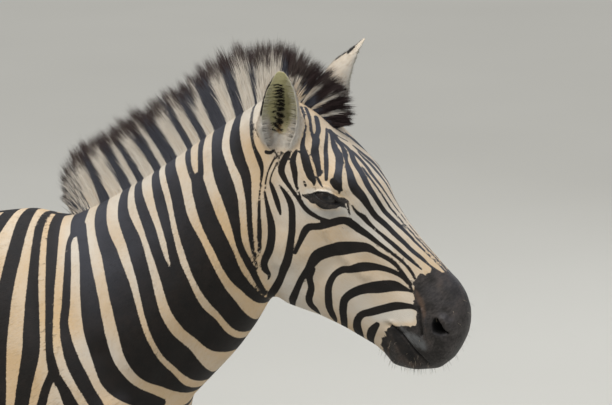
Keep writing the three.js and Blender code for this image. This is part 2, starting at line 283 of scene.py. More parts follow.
# ---- axes of the head and ears ----
class HeadAxes:
    """The head's own frame, placed by the eyeballs: along the face from the poll, out, and up off it."""

    TILT = math.radians(51.0)
    EYE_ALONG, EYE_UP = 185 * MM, -44 * MM

    def __init__(self) -> None:
        """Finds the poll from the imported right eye."""
        low, high = box_of("eye_right")
        eye = (low + high) / 2
        self.eye_out = abs(eye[1])
        self.eye_radius = (high[2] - low[2]) / 2
        self.along = np.array([math.cos(self.TILT), 0.0, -math.sin(self.TILT)])
        self.up = np.array([math.sin(self.TILT), 0.0, math.cos(self.TILT)])
        self.poll = np.array([eye[0], 0.0, eye[2]]) - self.along * self.EYE_ALONG - self.up * self.EYE_UP

    def local(self, points: Array) -> Array:
        """Places in the head's frame: along, out, up."""
        away = points - self.poll
        return np.stack([away @ self.along, away[..., 1], away @ self.up], -1)

    def turned(self, local: Array) -> Array:
        """A direction in the head's frame as one in the model's frame."""
        local = np.asarray(local, float)
        out = np.array([0, 1, 0])
        return local[..., :1] * self.along + local[..., 1:2] * out + local[..., 2:] * self.up

    def world(self, local: Array) -> Array:
        """A place in the head's frame as one in the model's frame."""
        return self.poll + self.turned(local)

    def turn(self, local: Array) -> Array:
        """The turn round the head of each place in its frame, in radians, 0 on the line of the face."""
        return np.arctan2(local[:, 1], local[:, 2] - self.middle(local[:, 0]))

    @staticmethod
    def middle(along: Array) -> Array:
        """Height of the head's own middle line, from which turns round the head are measured."""
        stations = np.array([-40, 0, 95, 190, 270, 350, 430, 508, 566]) * MM
        heights = np.array([-90, -100, -115, -115, -110, -92, -75, -65, -75]) * MM
        return np.interp(along, stations, heights)


HEAD = HeadAxes()


@dataclass(frozen=True)
class Ear:
    """One ear's axis and the way that its mouth faces, in millimetres."""

    node: str
    root: Place
    tip: Place
    facing: Place
    patches: Sequence[tuple[float, float, float, float]]  # dark ones behind: two shares, then two turns
    HOLLOW = 12 * MM  # how far the middle of the hollow lies from the axis, towards the mouth

    def axes(self) -> tuple[Array, Array, Array, Array]:
        """The root, the axis from it with its full length, the facing, and the way across."""
        start, end = np.array(self.root) * MM, np.array(self.tip) * MM
        axis = end - start
        open_way = np.array(self.facing, float)
        open_way -= axis * (open_way @ axis) / (axis @ axis)
        open_way = unit(open_way)
        return start, axis, open_way, np.cross(unit(axis), open_way)

    def local(self, points: Array) -> Array:
        """Share of the length, how far towards the mouth, and how far across, for each place."""
        start, axis, open_way, across = self.axes()
        away = points - start
        return np.stack([away @ axis / (axis @ axis), away @ open_way, away @ across], -1)

    def sides(self, points: Array, normals: Array) -> tuple[Array, Array, Array]:
        """Whether each place is outside the ear, its turn from the ear's back, and its share of the length.

        Args:
            points: Places on the ear.
            normals: The hide's directions outwards there.

        Returns:
            1 on the outside and 0 inside, the turn in degrees with the front side positive, and the share.
        """
        share, ahead, across = self.local(points).T
        _, _, open_way, across_way = self.axes()
        ahead = ahead - self.HOLLOW
        out = unit(np.stack([ahead, across], -1))
        facing = normals @ open_way * out[:, 0] + normals @ across_way * out[:, 1]
        turn = np.degrees(np.arctan2(across, -ahead))
        return eased(-0.2, 0.2, facing), turn, share

    @staticmethod
    def rim(share: Array) -> Array:
        """The turn at which the wall of the ear ends in its rim, in degrees."""
        shares = (0.0, 0.15, 0.3, 0.45, 0.6, 0.75, 0.87, 1.0)
        return np.interp(share, shares, (150, 136, 117, 104, 92, 81, 73, 62))

    def to_rim(self, turn: Array, share: Array) -> Array:
        """How far round towards the rim each place is: 0 in the middle of the back, 1 at the rim."""
        return np.abs(turn) / self.rim(share)

    def holds(self, points: Array) -> Array:
        """How surely each place is on this ear, from 0 to 1."""
        share, ahead, across = self.local(points).T
        reach = np.interp(share, (0.0, 0.15, 0.4, 1.2), (24, 34, 48, 48)) * MM
        near = 1.0 - eased(reach, reach + 6 * MM, np.hypot(ahead - 10 * MM, across))
        return near * eased(0.04, 0.16, share) * (1.0 - eased(1.12, 1.2, share))


EARS = (
    Ear("ear_right", (634, -56, 1455), (655, -105, 1613), (0.25, -1.0, 0.0), ((0.44, 0.90, -112, 62),)),
    Ear("ear_left", (676, 52, 1508), (752, 82, 1652), (1.0, 0.3, 0.0),
        ((-0.1, 0.40, -150, 10), (0.44, 0.88, 8, 100), (0.60, 0.97, -13, 16), (0.74, 0.86, -38, 0))),
)


# ---- places on the body ----
class Region:
    """How surely each place belongs to a part of the body, from 0 to 1."""

    def __init__(self, points: Array) -> None:
        """Works the parts out from the places alone."""
        x, _, z = points.T
        ears = np.max([ear.holds(points) for ear in EARS], axis=0)
        ahead = x + 0.035 * (z - 1.3)
        head = eased(0.585, 0.635, ahead) * eased(0.95, 1.05, z)
        self.ears = ears
        self.head = head * (1 - ears)
        forward = x + 0.6 * (z - 1.125)
        self.neck = eased(0.235, 0.315, forward) * (1 - head) * (1 - ears) * eased(0.84, 0.92, z)
        self.tail = 1.0 - eased(-0.935, -0.915, x - 0.25 * np.maximum(0, z - 1.1))
        self.tail *= eased(0.70, 0.74, z)
        self.legs = (1 - eased(0.66, 0.84, z)) * (1 - self.tail)
        self.trunk = np.clip(1 - self.legs - self.tail - self.neck - self.head - ears, 0, 1)

    @staticmethod
    def way(points: Array) -> Array:
        """The lie of the hair at each place, as a direction that isn't yet laid along the skin."""
        part = Region(points)
        local = HEAD.local(points)
        jaw = eased(-20 * MM, -120 * MM, local[:, 2])
        face = HEAD.turned(np.stack([1.0 - 0.5 * jaw, 0 * jaw, -0.8 * jaw], -1))
        way = part.head[:, None] * face
        lies = [(part.neck, (-0.55, 0, -0.8)), (part.trunk, (-0.85, 0, -0.5)), (part.legs, (-0.2, 0, -1.0)),
                (part.tail, (-0.1, 0, -1.0))]
        lies += [(ear.holds(points), unit(ear.axes()[1])) for ear in EARS]
        for share, lie in lies:
            way = way + share[:, None] * np.array(lie)
        return unit(way)


# ---- markings ----
class Ink(Enum):
    """What a stroke lays on the hide."""

    DARK = "dark hair"
    PALE = "white hair"
    GREY = "grey hair"
    TAN = "brown tint"
    BARE = "bare dark skin"
    # painted shade: this ink draws near black shade on the skin under the upper lip
    PAINTED_SHADOW = "painted shade on skin"


@dataclass(frozen=True)
class Stroke:
    """A painted run of places, each with a half width.

    On the body a place is (X, Z, half width), in millimetres. On the face it is (along, turn, half
    width): the turn goes in degrees round the head, from 0 on the line of the face to 180 under the jaw.
    """

    name: str
    places: Sequence[Place]
    ink: Ink = Ink.DARK
    right_only: bool = False


BODY_STROKES = (
    Stroke("shoulder back", [
        (48, 1300, 10), (50, 1286, 14), (40, 1240, 15), (20, 1150, 16), (10, 1000, 16), (15, 880, 15),
        (25, 790, 12), (30, 730, 8),
    ]),
    Stroke("shoulder rear", [
        (90, 1306, 8), (94, 1286, 13), (96, 1264, 14), (99, 1242, 14), (101, 1216, 15), (102, 1180, 15),
        (104, 1120, 17), (109, 1050, 15), (116, 950, 15), (112, 870, 14), (92, 800, 11), (70, 750, 6),
    ]),
    Stroke("shoulder middle", [
        (150, 1308, 4), (142, 1298, 5), (130, 1284, 7), (132, 1264, 9), (139, 1242, 9), (145, 1218, 10),
        (153, 1180, 12), (170, 1100, 18), (177, 1050, 20), (168, 985, 17), (160, 930, 15), (140, 860, 13),
        (112, 800, 8),
    ]),
    Stroke("shoulder front", [
        (176, 1306, 6), (164, 1297, 8), (157, 1284, 10), (163, 1265, 12), (172, 1244, 12),
        (180, 1222, 12), (188, 1196, 11), (200, 1145, 9), (215, 1076, 8), (223, 1046, 10),
        (232, 1020, 12),
    ]),
    Stroke("shoulder fork rear", [(230, 1024, 9), (217, 992, 9), (208, 958, 10), (198, 925, 10)]),
    Stroke("shoulder fork front", [(232, 1020, 9), (252, 994, 11), (270, 962, 14), (292, 925, 14)]),
    Stroke("neck base", [(198, 1318, 8), (208, 1292, 18), (219, 1268, 16)]),
    Stroke("neck base rear", [
        (214, 1266, 9), (210, 1248, 6), (216, 1226, 7), (224, 1200, 8), (234, 1150, 9), (239, 1105, 9),
        (262, 1052, 13), (283, 1016, 14), (302, 985, 13), (322, 955, 13),
    ]),
    Stroke("neck base front", [
        (226, 1274, 12), (241, 1253, 11), (252, 1232, 11), (263, 1206, 13), (280, 1160, 18),
        (296, 1108, 20), (318, 1045, 19), (340, 1004, 22), (372, 972, 18), (402, 945, 12),
    ]),
    Stroke("neck 2", [
        (248, 1345, 8), (254, 1322, 12), (262, 1303, 14), (274, 1281, 14), (290, 1258, 15),
        (312, 1228, 18), (340, 1176, 23), (366, 1108, 24), (384, 1058, 27), (404, 1018, 24),
        (432, 980, 12), (450, 952, 5),
    ]),
    Stroke("neck 3", [
        (290, 1374, 7), (303, 1346, 11), (320, 1305, 13), (355, 1260, 16), (384, 1204, 15),
        (404, 1146, 15), (424, 1096, 18), (446, 1052, 23), (468, 1004, 18), (474, 975, 7),
    ]),
    Stroke("neck 4", [
        (315, 1390, 6), (328, 1370, 8), (352, 1332, 11), (388, 1282, 12), (414, 1236, 11),
        (434, 1202, 15), (450, 1174, 20), (468, 1142, 24), (492, 1105, 25), (511, 1074, 22),
        (530, 1050, 11),
    ]),
    Stroke("neck 5", [
        (356, 1406, 8), (370, 1384, 9), (398, 1336, 12), (427, 1281, 9), (446, 1232, 10), (464, 1194, 13),
        (480, 1152, 16), (502, 1112, 17), (520, 1082, 14), (538, 1056, 11), (552, 1038, 7),
    ]),
    Stroke("neck 6", [
        (384, 1436, 10), (396, 1410, 13), (426, 1366, 14), (450, 1314, 14), (480, 1262, 20),
        (508, 1208, 22), (532, 1156, 20), (556, 1104, 18), (562, 1080, 5),
    ]),
    Stroke("neck 7 rear", [(424, 1462, 4), (436, 1432, 7), (455, 1399, 6), (473, 1380, 8)]),
    Stroke("neck 7 front", [
        (452, 1486, 8), (462, 1458, 8), (471, 1428, 6), (478, 1402, 7), (477, 1380, 9),
    ]),
    Stroke("neck 7", [
        (475, 1380, 14), (482, 1366, 16), (507, 1317, 18), (540, 1262, 17), (560, 1212, 14),
        (586, 1158, 9), (594, 1140, 3),
    ]),
    Stroke("neck 8", [
        (488, 1510, 12), (498, 1480, 15), (506, 1444, 12), (522, 1406, 17), (545, 1364, 16),
        (560, 1318, 10), (570, 1276, 7), (586, 1226, 7), (597, 1168, 5),
    ]),
    Stroke("neck 9", [
        (528, 1536, 6), (537, 1508, 9), (544, 1466, 14), (558, 1434, 13), (576, 1402, 10), (585, 1353, 6),
        (590, 1292, 5), (596, 1225, 2),
    ]),
    Stroke("behind the ear", [
        (568, 1540, 3), (578, 1496, 4), (588, 1462, 4), (604, 1434, 6), (609, 1415, 4), (606, 1386, 2),
        (605, 1342, 3), (605, 1292, 4), (602, 1252, 2),
    ]),
)

FACE_STROKES = (
    Stroke("line behind the ear", [(-7, 76, 1.7), (10, 77, 1.9), (30, 74, 1.8)]),
    Stroke("ear root", [(37, 58, 2), (47, 57, 2.4), (54, 63, 3), (56, 71, 3.7), (50, 76, 3.7)]),
    Stroke("jaw edge", [
        (53, 56, 1.8), (65, 65, 1.8), (74, 77, 1.8), (83, 87, 1.8), (95, 96, 1.8), (104, 101, 1.8),
        (111, 105, 2.5), (138, 113, 4.7), (166, 122, 7.6), (192, 133, 8.7), (209, 146, 7),
        (222, 152, 6.6), (234, 156, 4), (242, 160, 1.2),
    ]),
    Stroke("jaw rim", [(94, 105, 1.7), (120, 116, 2.1), (156, 128, 2.2), (187, 139, 1.3)]),
    Stroke("cheek rear", [
        (48, 51, 2.4), (61, 56, 2), (78, 69, 1.6), (88, 81, 1.6), (98, 89, 2), (106, 91, 4.4),
        (129, 96, 6), (148, 101, 5), (158, 104, 2.5),
    ]),
    Stroke("temple", [
        (25, 25, 2), (35, 29, 3), (46, 36, 4), (57, 39, 5), (68, 47, 4), (77, 56, 6), (91, 68, 7),
        (106, 72, 6), (130, 73, 4), (155, 73, 4), (180, 73, 5), (207, 68, 4), (226, 61, 4),
    ]),
    Stroke("cheek long", [
        (115, 82, 2.1), (136, 82, 5), (158, 85, 7), (182, 96, 7.3), (210, 113, 7.2), (235, 131, 8.7),
        (246, 146, 8.1), (258, 159, 8), (264, 168, 8), (272, 178, 7),
    ]),
    Stroke("brow rear", [
        (83, 47, 3), (92, 54, 6), (114, 60, 6), (130, 65, 4), (150, 69, 2), (170, 72, 2),
    ]),
    Stroke("brow 1", [
        (19, 14, 3), (29, 18, 3), (46, 26, 2.4), (58, 30, 3), (71, 36, 3.4), (83, 41, 5), (103, 45, 8),
        (132, 50, 8), (147, 51, 5), (154, 53, 2),
    ]),
    Stroke("brow 2 rear prong", [
        (25, 11, 3), (38, 16, 3.5), (49, 20, 3), (65, 26, 3), (78, 29, 3), (88, 30, 4),
    ]),
    Stroke("brow 2", [
        (52, 13, 5), (66, 18, 5), (76, 22, 5), (83, 27, 5), (88, 29, 7.5), (100, 34, 7), (106, 36, 8),
        (130, 41, 5.6), (143, 44, 5),
    ]),
    Stroke("brow 2 tail", [(145, 47, 2.4), (156, 48, 2.7), (166, 49, 1.2)]),
    Stroke("brow dot", [(138, 58, 2.5), (145, 59, 2.5)]),
    Stroke("brow 3", [(81, 14, 2.5), (94, 20, 3.4), (108, 26, 4), (139, 36, 4.6), (159, 43, 3.4)]),
    Stroke("brow 4 foot", [(170, 41, 7), (182, 41, 8), (192, 40, 3)]),
    Stroke("brow 4", [
        (91, 14, 3.3), (106, 18, 4.5), (119, 21, 6.5), (141, 25, 7.8), (161, 34, 7), (171, 38, 8.4),
        (185, 40, 5), (194, 42, 2),
    ]),
    Stroke("nose 1", [
        (89, 13, 5.3), (111, 14, 6), (126, 15, 4.8), (140, 18, 5.9), (153, 22, 3.6), (169, 26, 7),
        (197, 31, 9.9), (225, 29, 8.5), (250, 27, 6), (287, 22, 5.4), (312, 20, 5), (340, 18, 4.4),
        (361, 17, 4.2), (382, 15, 3.8), (400, 14, 2.2), (424, 12, 4.5),
    ]),
    Stroke("nose 2", [
        (115, 13, 2.7), (129, 11, 5.4), (144, 11, 7), (158, 15, 7.8), (177, 17, 8), (212, 20, 7.5),
        (240, 19, 5.5), (270, 16, 5), (315, 11, 4), (348, 9, 3), (380, 7.5, 2.2), (415, 5.5, 2),
        (436, 5, 3.5),
    ]),
    Stroke("nose 3", [
        (180, 12, 3.5), (189, 13, 4.5), (197, 13, 4.4), (225, 12.5, 3), (265, 10, 2.6), (300, 7, 2.3),
        (330, 5, 2.2), (363, 3.5, 2.1), (400, 2, 2), (438, 1, 3),
    ]),
    Stroke("nose 4", [
        (143, 8, 3.4), (155, 7, 5.5), (170, 6, 6), (187, 6, 6.5), (199, 7, 6), (240, 6, 3), (270, 4, 2),
        (300, 1.5, 2), (350, 0, 2), (415, -2, 2), (438, -3, 3),
    ], right_only=True),
    Stroke("nose 5", [
        (150, 1, 2.5), (166, 0, 4.6), (181, -3, 6), (196, -4, 7), (208, -5, 6), (240, -5, 4),
        (300, -6, 2), (345, -7, 1.8), (415, -8, 1.8), (438, -9, 4),
    ], right_only=True),
    Stroke("nose 6", [
        (135, 1, 2.5), (148, -2, 5), (163, -6, 6), (178, -10, 7), (193, -12, 6), (206, -12, 4.8),
        (240, -13, 3), (290, -15, 2.4), (350, -17, 2.2), (415, -17, 2), (438, -17, 4),
    ], right_only=True),
    Stroke("forehead band", [
        (110, -5, 5), (124, -9, 7), (139, -14, 8), (154, -17, 4.6),
    ], right_only=True),
    Stroke("forehead line", [(91, 4, 2.3), (102, 1, 2.2), (115, -4, 3)], right_only=True),
    Stroke("forehead line 2", [(94, 12, 2), (108, 9, 1.8), (123, 3, 1.6)], right_only=True),
    Stroke("eye front", [(214, 40, 1), (230, 43, 2), (247, 44, 1)]),
    Stroke("under the eye", [
        (222, 39, 1), (240, 38, 3), (258, 34, 5), (285, 31, 3), (325, 27, 4), (365, 24, 4), (397, 22, 2),
    ]),
    Stroke("cheek 1", [
        (232, 119, 4), (222, 107, 5), (212, 93, 7), (210, 84, 7), (221, 73, 7), (236, 52, 8),
        (255, 45, 8), (282, 40, 6), (315, 36, 4), (360, 31, 3), (390, 31, 3), (418, 36, 2),
    ]),
    Stroke("cheek 2", [
        (312, 178, 4), (299, 164, 7.7), (289, 153, 6.7), (279, 142, 6.1), (271, 126, 7), (265, 114, 10),
        (262, 102, 12), (269, 84, 13), (280, 69, 13), (302, 50, 9), (325, 44, 5), (360, 38, 4),
        (410, 40, 2),
    ]),
    Stroke("cheek 2 fork", [
        (275, 124, 7.6), (287, 137, 6.4), (305, 148, 7.1), (321, 158, 7.5), (338, 164, 8), (351, 170, 3),
    ]),
    Stroke("cheek 3", [
        (382, 172, 2), (372, 164, 7.2), (353, 155, 7.8), (334, 143, 7.5), (317, 129, 6.6), (309, 113, 6),
        (311, 97, 7), (319, 88, 8), (329, 71, 9), (350, 53, 6), (386, 42, 4), (421, 45, 2),
    ]),
    Stroke("cheek 4", [
        (402, 178, 7), (391, 164, 7.6), (369, 148, 8), (357, 135, 7.8), (357, 119, 9), (364, 100, 10),
        (376, 81, 12), (392, 59, 10), (411, 50, 4), (424, 46, 2),
    ]),
    Stroke("cheek 5", [
        (436, 180, 7), (423, 167, 11), (405, 154, 8), (399, 142, 7), (406, 129, 8), (414, 110, 8),
        (424, 86, 8), (440, 66, 5), (452, 60, 4),
    ]),
    Stroke("chin", [(462, 180, 7), (449, 168, 8), (436, 153, 9), (431, 139, 5)]),
    Stroke("eye surround", [
        (156, 67, 1.5), (167, 62, 7), (178, 59, 13), (190, 55, 18.5), (200, 49, 13.5), (209, 43, 7),
        (216, 40, 2),
    ], Ink.BARE),
    Stroke("under the lid", [
        (168, 72, 4), (184, 72, 6), (202, 66, 8), (217, 56, 8), (226, 48, 4),
    ], Ink.GREY),
    Stroke("over the lid", [(158, 60, 2), (168, 54, 2.5), (180, 48, 2.5)], Ink.PALE),
    Stroke("before the eye", [(214, 45, 4), (240, 43, 4), (280, 36, 4), (330, 30, 3)], Ink.PALE),
    Stroke("upper lip", [(462, 110, 3), (480, 107, 7), (500, 103, 11), (516, 100, 6)], Ink.GREY),
    Stroke("corner of the lips", [(416, 126, 10), (426, 110, 13), (440, 96, 12), (452, 80, 9)], Ink.PALE),
    Stroke("lid tint", [(188, 44, 0.3), (197, 42, 0.6), (206, 41, 0.3)], Ink.TAN),
    # painted shadow: the lower lip drawn near black where the upper lip shades it
    Stroke("inside the lower lip", [
        (447, 122, 3), (462, 127, 6), (480, 129, 9), (500, 131, 11), (518, 132, 8),
    ], Ink.PAINTED_SHADOW),
    Stroke("edge of the lower lip", [(455, 138, 2), (474, 153, 4), (499, 168, 4)], Ink.TAN),
    # painted highlight: the nostril's upper rim drawn lighter grey where its ridge catches the light
    Stroke("nostril rim", [(497, 42, 2), (508, 44, 3), (517, 49, 2)], Ink.GREY),
    Stroke("muzzle border tint", [
        (422, 42, 5), (434, 46, 7), (448, 50, 7), (464, 57, 5), (474, 64, 2),
    ], Ink.TAN),
    Stroke("fold tint", [(474, 64, 2), (484, 70, 2), (496, 76, 1)], Ink.TAN),
)


class Markings:
    """Stripes and tints over the whole hide, drawn by strokes in front and by rows of bands behind."""

    STEP = 4.0  # millimetres between the worked points of a stroke
    REACH = 30 * MM  # beyond which depths inside and outside a stroke aren't told apart
    DOCK_STEP = 48 * MM
    BARREL_FROM, BARREL_STEP = -0.030, 0.090
    FAN_X, FAN_Z, FAN_STEP = -0.40, 0.66, math.radians(11.25)
    HIND_STEP, FORE_STEP = 0.052, 0.058
    FORK_X, FORK_Z = 0.235, 1.015
    # the turn round the head, and how far along the bare muzzle begins there
    MUZZLE = ((0, 430), (8, 424), (14, 406), (18, 411), (25, 405), (33, 405), (40, 414), (47, 424),
              (55, 437), (62, 447), (70, 461), (82, 475), (92, 471), (105, 459), (115, 452), (125, 446),
              (136, 450), (152, 457), (170, 478), (180, 490))
    CREST_SHARE = 0.12  # of a body stroke, from its top: both sides meet there over the crest
    LEFT_TURN = 8.0  # degrees that the left side's strokes sit further off the line of the face

    def __init__(self, tree: BVHTree) -> None:
        """Lays every stroke on the hide.

        Args:
            tree: The hide, for casting the strokes onto it.
        """
        self.tree = tree
        self.bands: list[tuple[Ink, Array, Array]] = []
        for side in SIDES:
            for number, stroke in enumerate(BODY_STROKES):
                self.lay_on_body(stroke, side, number)
            for number, stroke in enumerate(FACE_STROKES):
                if side < 0 or not stroke.right_only:
                    self.lay_on_face(stroke, side, number)

    def drift(self, run: Array, side: int, number: int, size: float) -> Array:
        """Shifts the left side's strokes a little, because no two sides of a zebra are alike."""
        if side < 0:
            return run
        rng = np.random.default_rng(100 + number)
        phase = rng.uniform(0, 2 * math.pi, 2)
        share = np.linspace(0, 1, len(run))
        size = size * eased(0.0, self.CREST_SHARE, share)
        run = run.copy()
        run[:, 0] += size * np.sin(3.0 * share + phase[0])
        run[:, 1] += size * 0.6 * np.sin(4.0 * share + phase[1])
        return run

    def lay_on_body(self, stroke: Stroke, side: int, number: int) -> None:
        """Casts a body stroke sideways onto the hide."""
        run = self.drift(smooth_run(stroke.places, self.STEP), side, number, 4.0)
        spots = []
        for x, z, _ in run * MM:
            hit = self.tree.ray_cast(Vector((x, side * 0.6, z)), Vector((0, -side, 0)), 0.6)[0]
            spots.append(hit or self.tree.find_nearest(Vector((x, side * 0.004, z)))[0])
        self.bands.append((stroke.ink, np.array(spots), run[:, 2] * MM))

    def lay_on_face(self, stroke: Stroke, side: int, number: int) -> None:
        """Casts a face stroke outwards from the head's middle line."""
        run = self.drift(smooth_run(stroke.places, self.STEP), side, number, 2.0)
        if side > 0:
            run[:, 1] += self.LEFT_TURN * np.clip(1.0 - run[:, 1] / 90.0, 0.0, 1.0)
        spots = []
        for along, turn, _ in run:
            start = HEAD.world(np.array([along * MM, 0.0, HEAD.middle(along * MM)]))
            angle = math.radians(turn)
            way = HEAD.turned(np.array([0.0, side * math.sin(angle), math.cos(angle)]))
            hit = self.tree.ray_cast(Vector(start), Vector(way), 0.3)[0]
            spots.append(hit or self.tree.find_nearest(Vector(start + way * 0.1))[0])
        self.bands.append((stroke.ink, np.array(spots), run[:, 2] * MM))

    def strokes(self, points: Array, ink: Ink) -> Array:
        """How far inside the strokes of one ink each place lies, down to the reach outside them."""
        depth = np.full(len(points), -self.REACH)
        for kind, line, half in self.bands:
            if kind is not ink:
                continue
            grown = half.max() + self.REACH
            near = np.all((points > line.min(0) - grown) & (points < line.max(0) + grown), axis=1)
            if near.any():
                depth[near] = np.maximum(depth[near], reach_inside(points[near], line, half))
        return depth

    def hind_bands(self, points: Array) -> Array:
        """Bands of the barrel, which fan out over the haunch and cross the hind legs."""
        x, y, z = points.T
        x = x + 0.05 * (1.29 - z) / 0.6 + 0.012 * wobble(points, 0.45, 3)
        height = z - self.FAN_Z
        behind = self.FAN_X - x
        barrel = (self.BARREL_FROM - x) / self.BARREL_STEP
        start = (self.BARREL_FROM - self.FAN_X) / self.BARREL_STEP
        turn = np.arctan2(np.maximum(behind, 0), np.maximum(height, 1e-4))
        radius = np.hypot(behind, np.maximum(height, 0))
        fan = start + turn / self.FAN_STEP
        leg = start + math.pi / 2 / self.FAN_STEP - height / self.HIND_STEP + 0.3 * np.abs(y) / 0.1
        count = np.where(behind < 0, barrel, np.where(height > 0, fan + 0.3 * np.abs(y) / 0.1 * turn, leg))
        width = np.where(height > 0, radius * self.FAN_STEP, self.HIND_STEP)
        width = np.where(behind < 0, self.BARREL_STEP, width)
        count = count + 0.09 * wobble(points, 0.16, 5)
        share = 0.26 + 0.03 * wobble(points, 0.3, 7)
        return (share - np.abs(count - np.round(count))) * width

    def fore_bands(self, points: Array) -> Array:
        """Nested peaks under the shoulder that level out into the rings of the foreleg."""
        x, _, z = points.T
        slope = 1.5 * eased(0.66, 1.0, z)
        beside = np.sqrt((x - self.FORK_X) ** 2 + 0.012**2) - 0.012
        count = (self.FORK_Z - z - slope * beside) / self.FORE_STEP + 0.10 * wobble(points, 0.14, 11)
        share = 0.27 + 0.03 * wobble(points, 0.2, 13)
        return (share - np.abs(count - np.round(count))) * self.FORE_STEP / np.sqrt(1 + slope**2)

    def muzzle(self, local: Array) -> Array:
        """How far each place lies inside the dark bare muzzle."""
        turn = np.degrees(np.abs(HEAD.turn(local)))
        turns, starts = np.array(self.MUZZLE, float).T
        edge = np.interp(turn, turns, starts) * MM
        ragged = 3.5 * MM * wobble(local, 0.030, 41) + 2.0 * MM * wobble(local, 0.011, 42)
        return (local[:, 0] - edge) * 0.85 + ragged

    def ears(self, points: Array, normals: Array, marks: dict[str, Array]) -> None:
        """White ears with a black patch on the back, and grey insides, brown below, with dark streaks down
        the middle that are partly dark hair and partly painted shade in the hollow between the hairs.
        """
        for ear in EARS:
            on_ear = ear.holds(points)
            outside, turn, share = ear.sides(points, normals)
            length = np.linalg.norm(ear.axes()[1])
            patch = -0.03 + 0 * share
            for low, high, start, stop in ear.patches:
                inside = np.minimum(share - low, high - share) * length
                inside = np.minimum(inside, np.radians(np.minimum(turn - start, stop - turn)) * 30 * MM)
                patch = np.maximum(patch, inside + 2 * MM * wobble(points, 0.016, 53))
            across = ear.local(points)[:, 2]
            dark_streaks_and_shade = self.dark_streaks_and_shade(share * length, across, share)
            wall = ear.to_rim(turn, share)
            rim = eased(0.75, 1.0, wall) * (1 - eased(1.15, 1.35, wall))
            # painted shade: inside, the hide goes dark down the hollow so gaps between hairs look dark
            ink = np.where(outside > 0.5, np.clip(patch, -0.01, 0.01), dark_streaks_and_shade)
            marks["ink"] = mixed(marks["ink"], ink, on_ear)
            low = (1 - outside) * eased(0.18, 0.25, share) * eased(0.46, 0.30, share)
            low = low * hump(across + 1 * MM, 9 * MM)
            mouth = np.interp(share, (0.06, 0.2, 0.32, 0.5, 1.0), (2, 11, 24, 44, 44)) * MM
            straw = (1 - outside) * (1 - 0.5 * rim) * eased(0, 6 * MM, mouth - np.abs(across + 1 * MM))
            marks["straw"] = mixed(marks["straw"], straw * (1 - 0.9 * low), on_ear)
            marks["grey"] = marks["grey"] * (1 - on_ear)
            marks["tan"] = mixed(marks["tan"], np.maximum(low, 0.25 * (1 - rim)), on_ear)

    @staticmethod
    def dark_streaks_and_shade(along: Array, across: Array, share: Array) -> Array:
        """How far each place lies inside the dark uneven streaks down the middle of an ear's mouth.

        The streaks are partly dark hair and partly painted shade in the hollow between the hairs.

        Args:
            along: Distance from the ear's root.
            across: Distance across its mouth.
            share: The first as a share of the ear's length.

        Returns:
            The depth in the dark streaks of hair and painted shade, in metres.
        """
        spot = np.stack([along, across, 0 * along], -1)
        rows = along + 0.15 * across + 1.6 * MM * wobble(spot, 0.03, 51)
        streaks = 1.5 * MM * np.sin(2 * math.pi * rows / (8.5 * MM)) + 0.9 * MM * wobble(spot, 0.010, 52)
        wide = np.minimum((across + 17 * MM) * 0.22, (6 * MM - across) * 0.9)
        ends = np.minimum(share - 0.24, 0.80 - share) * 0.05
        return np.minimum(np.minimum(wide, ends), 2.6 * MM) + streaks - 1.1 * MM

    def covered(self, points: Array, ink: Ink, low: float, high: float) -> Array:
        """How fully one ink covers each place: from 0 at the low depth in its strokes to 1 at the high."""
        return eased(low, high, self.strokes(points, ink))

    def stripes(self, points: Array, normals: Array, part: Region) -> Array:
        """How far inside dark hair each place lies, all but on the ears.

        Args:
            points: Places on the hide.
            normals: The hide's directions outwards there.
            part: The parts of the body that they belong to.

        Returns:
            The depth in dark hair, in metres.
        """
        x, y, z = points.T
        dark = self.strokes(points, Ink.DARK)
        flank = 1.0 - eased(-0.030, -0.018, x + 0.05 * (1.29 - z) / 0.6)
        ink = mixed(dark, self.hind_bands(points), flank)
        fork_line = 0.935 - 1.7 * np.maximum(0, 0.185 - x)
        arm = (1.0 - eased(-0.012, 0.012, z - fork_line)) * (x > 0.02) * (z > 0)
        ink = mixed(ink, np.where(arm > 0.5, self.fore_bands(points), ink), arm)
        under = eased(0.6, 1.0, -normals[:, 2]) * eased(0.60, 0.66, z) * (1 - part.head) * (1 - part.neck)
        ink = ink - 0.018 * under
        belly_line = 0.013 - np.abs(y)
        ink = np.where((under > 0.1) & (np.abs(y) < 0.03), np.maximum(ink, belly_line), ink)
        inner_leg = eased(0.3, 0.9, -np.sign(y) * normals[:, 1]) * part.legs
        ink = ink - 0.006 * inner_leg
        spine = (0.011 - np.abs(y)) * eased(0.3, 0.6, normals[:, 2])
        ink = np.where((x < 0.04) & (z > 1.1), np.maximum(ink, spine), ink)
        pastern = (0.108 - z) * 0.6 * (z < 0.2) + (z >= 0.2) * -0.05
        ink = np.maximum(ink, pastern)
        ring = z / self.DOCK_STEP
        dock = (0.3 - np.abs(ring - np.round(ring))) * self.DOCK_STEP
        ink = np.where(part.tail > 0.5, dock, ink)
        return np.where(part.head > 0.3, dark, ink)

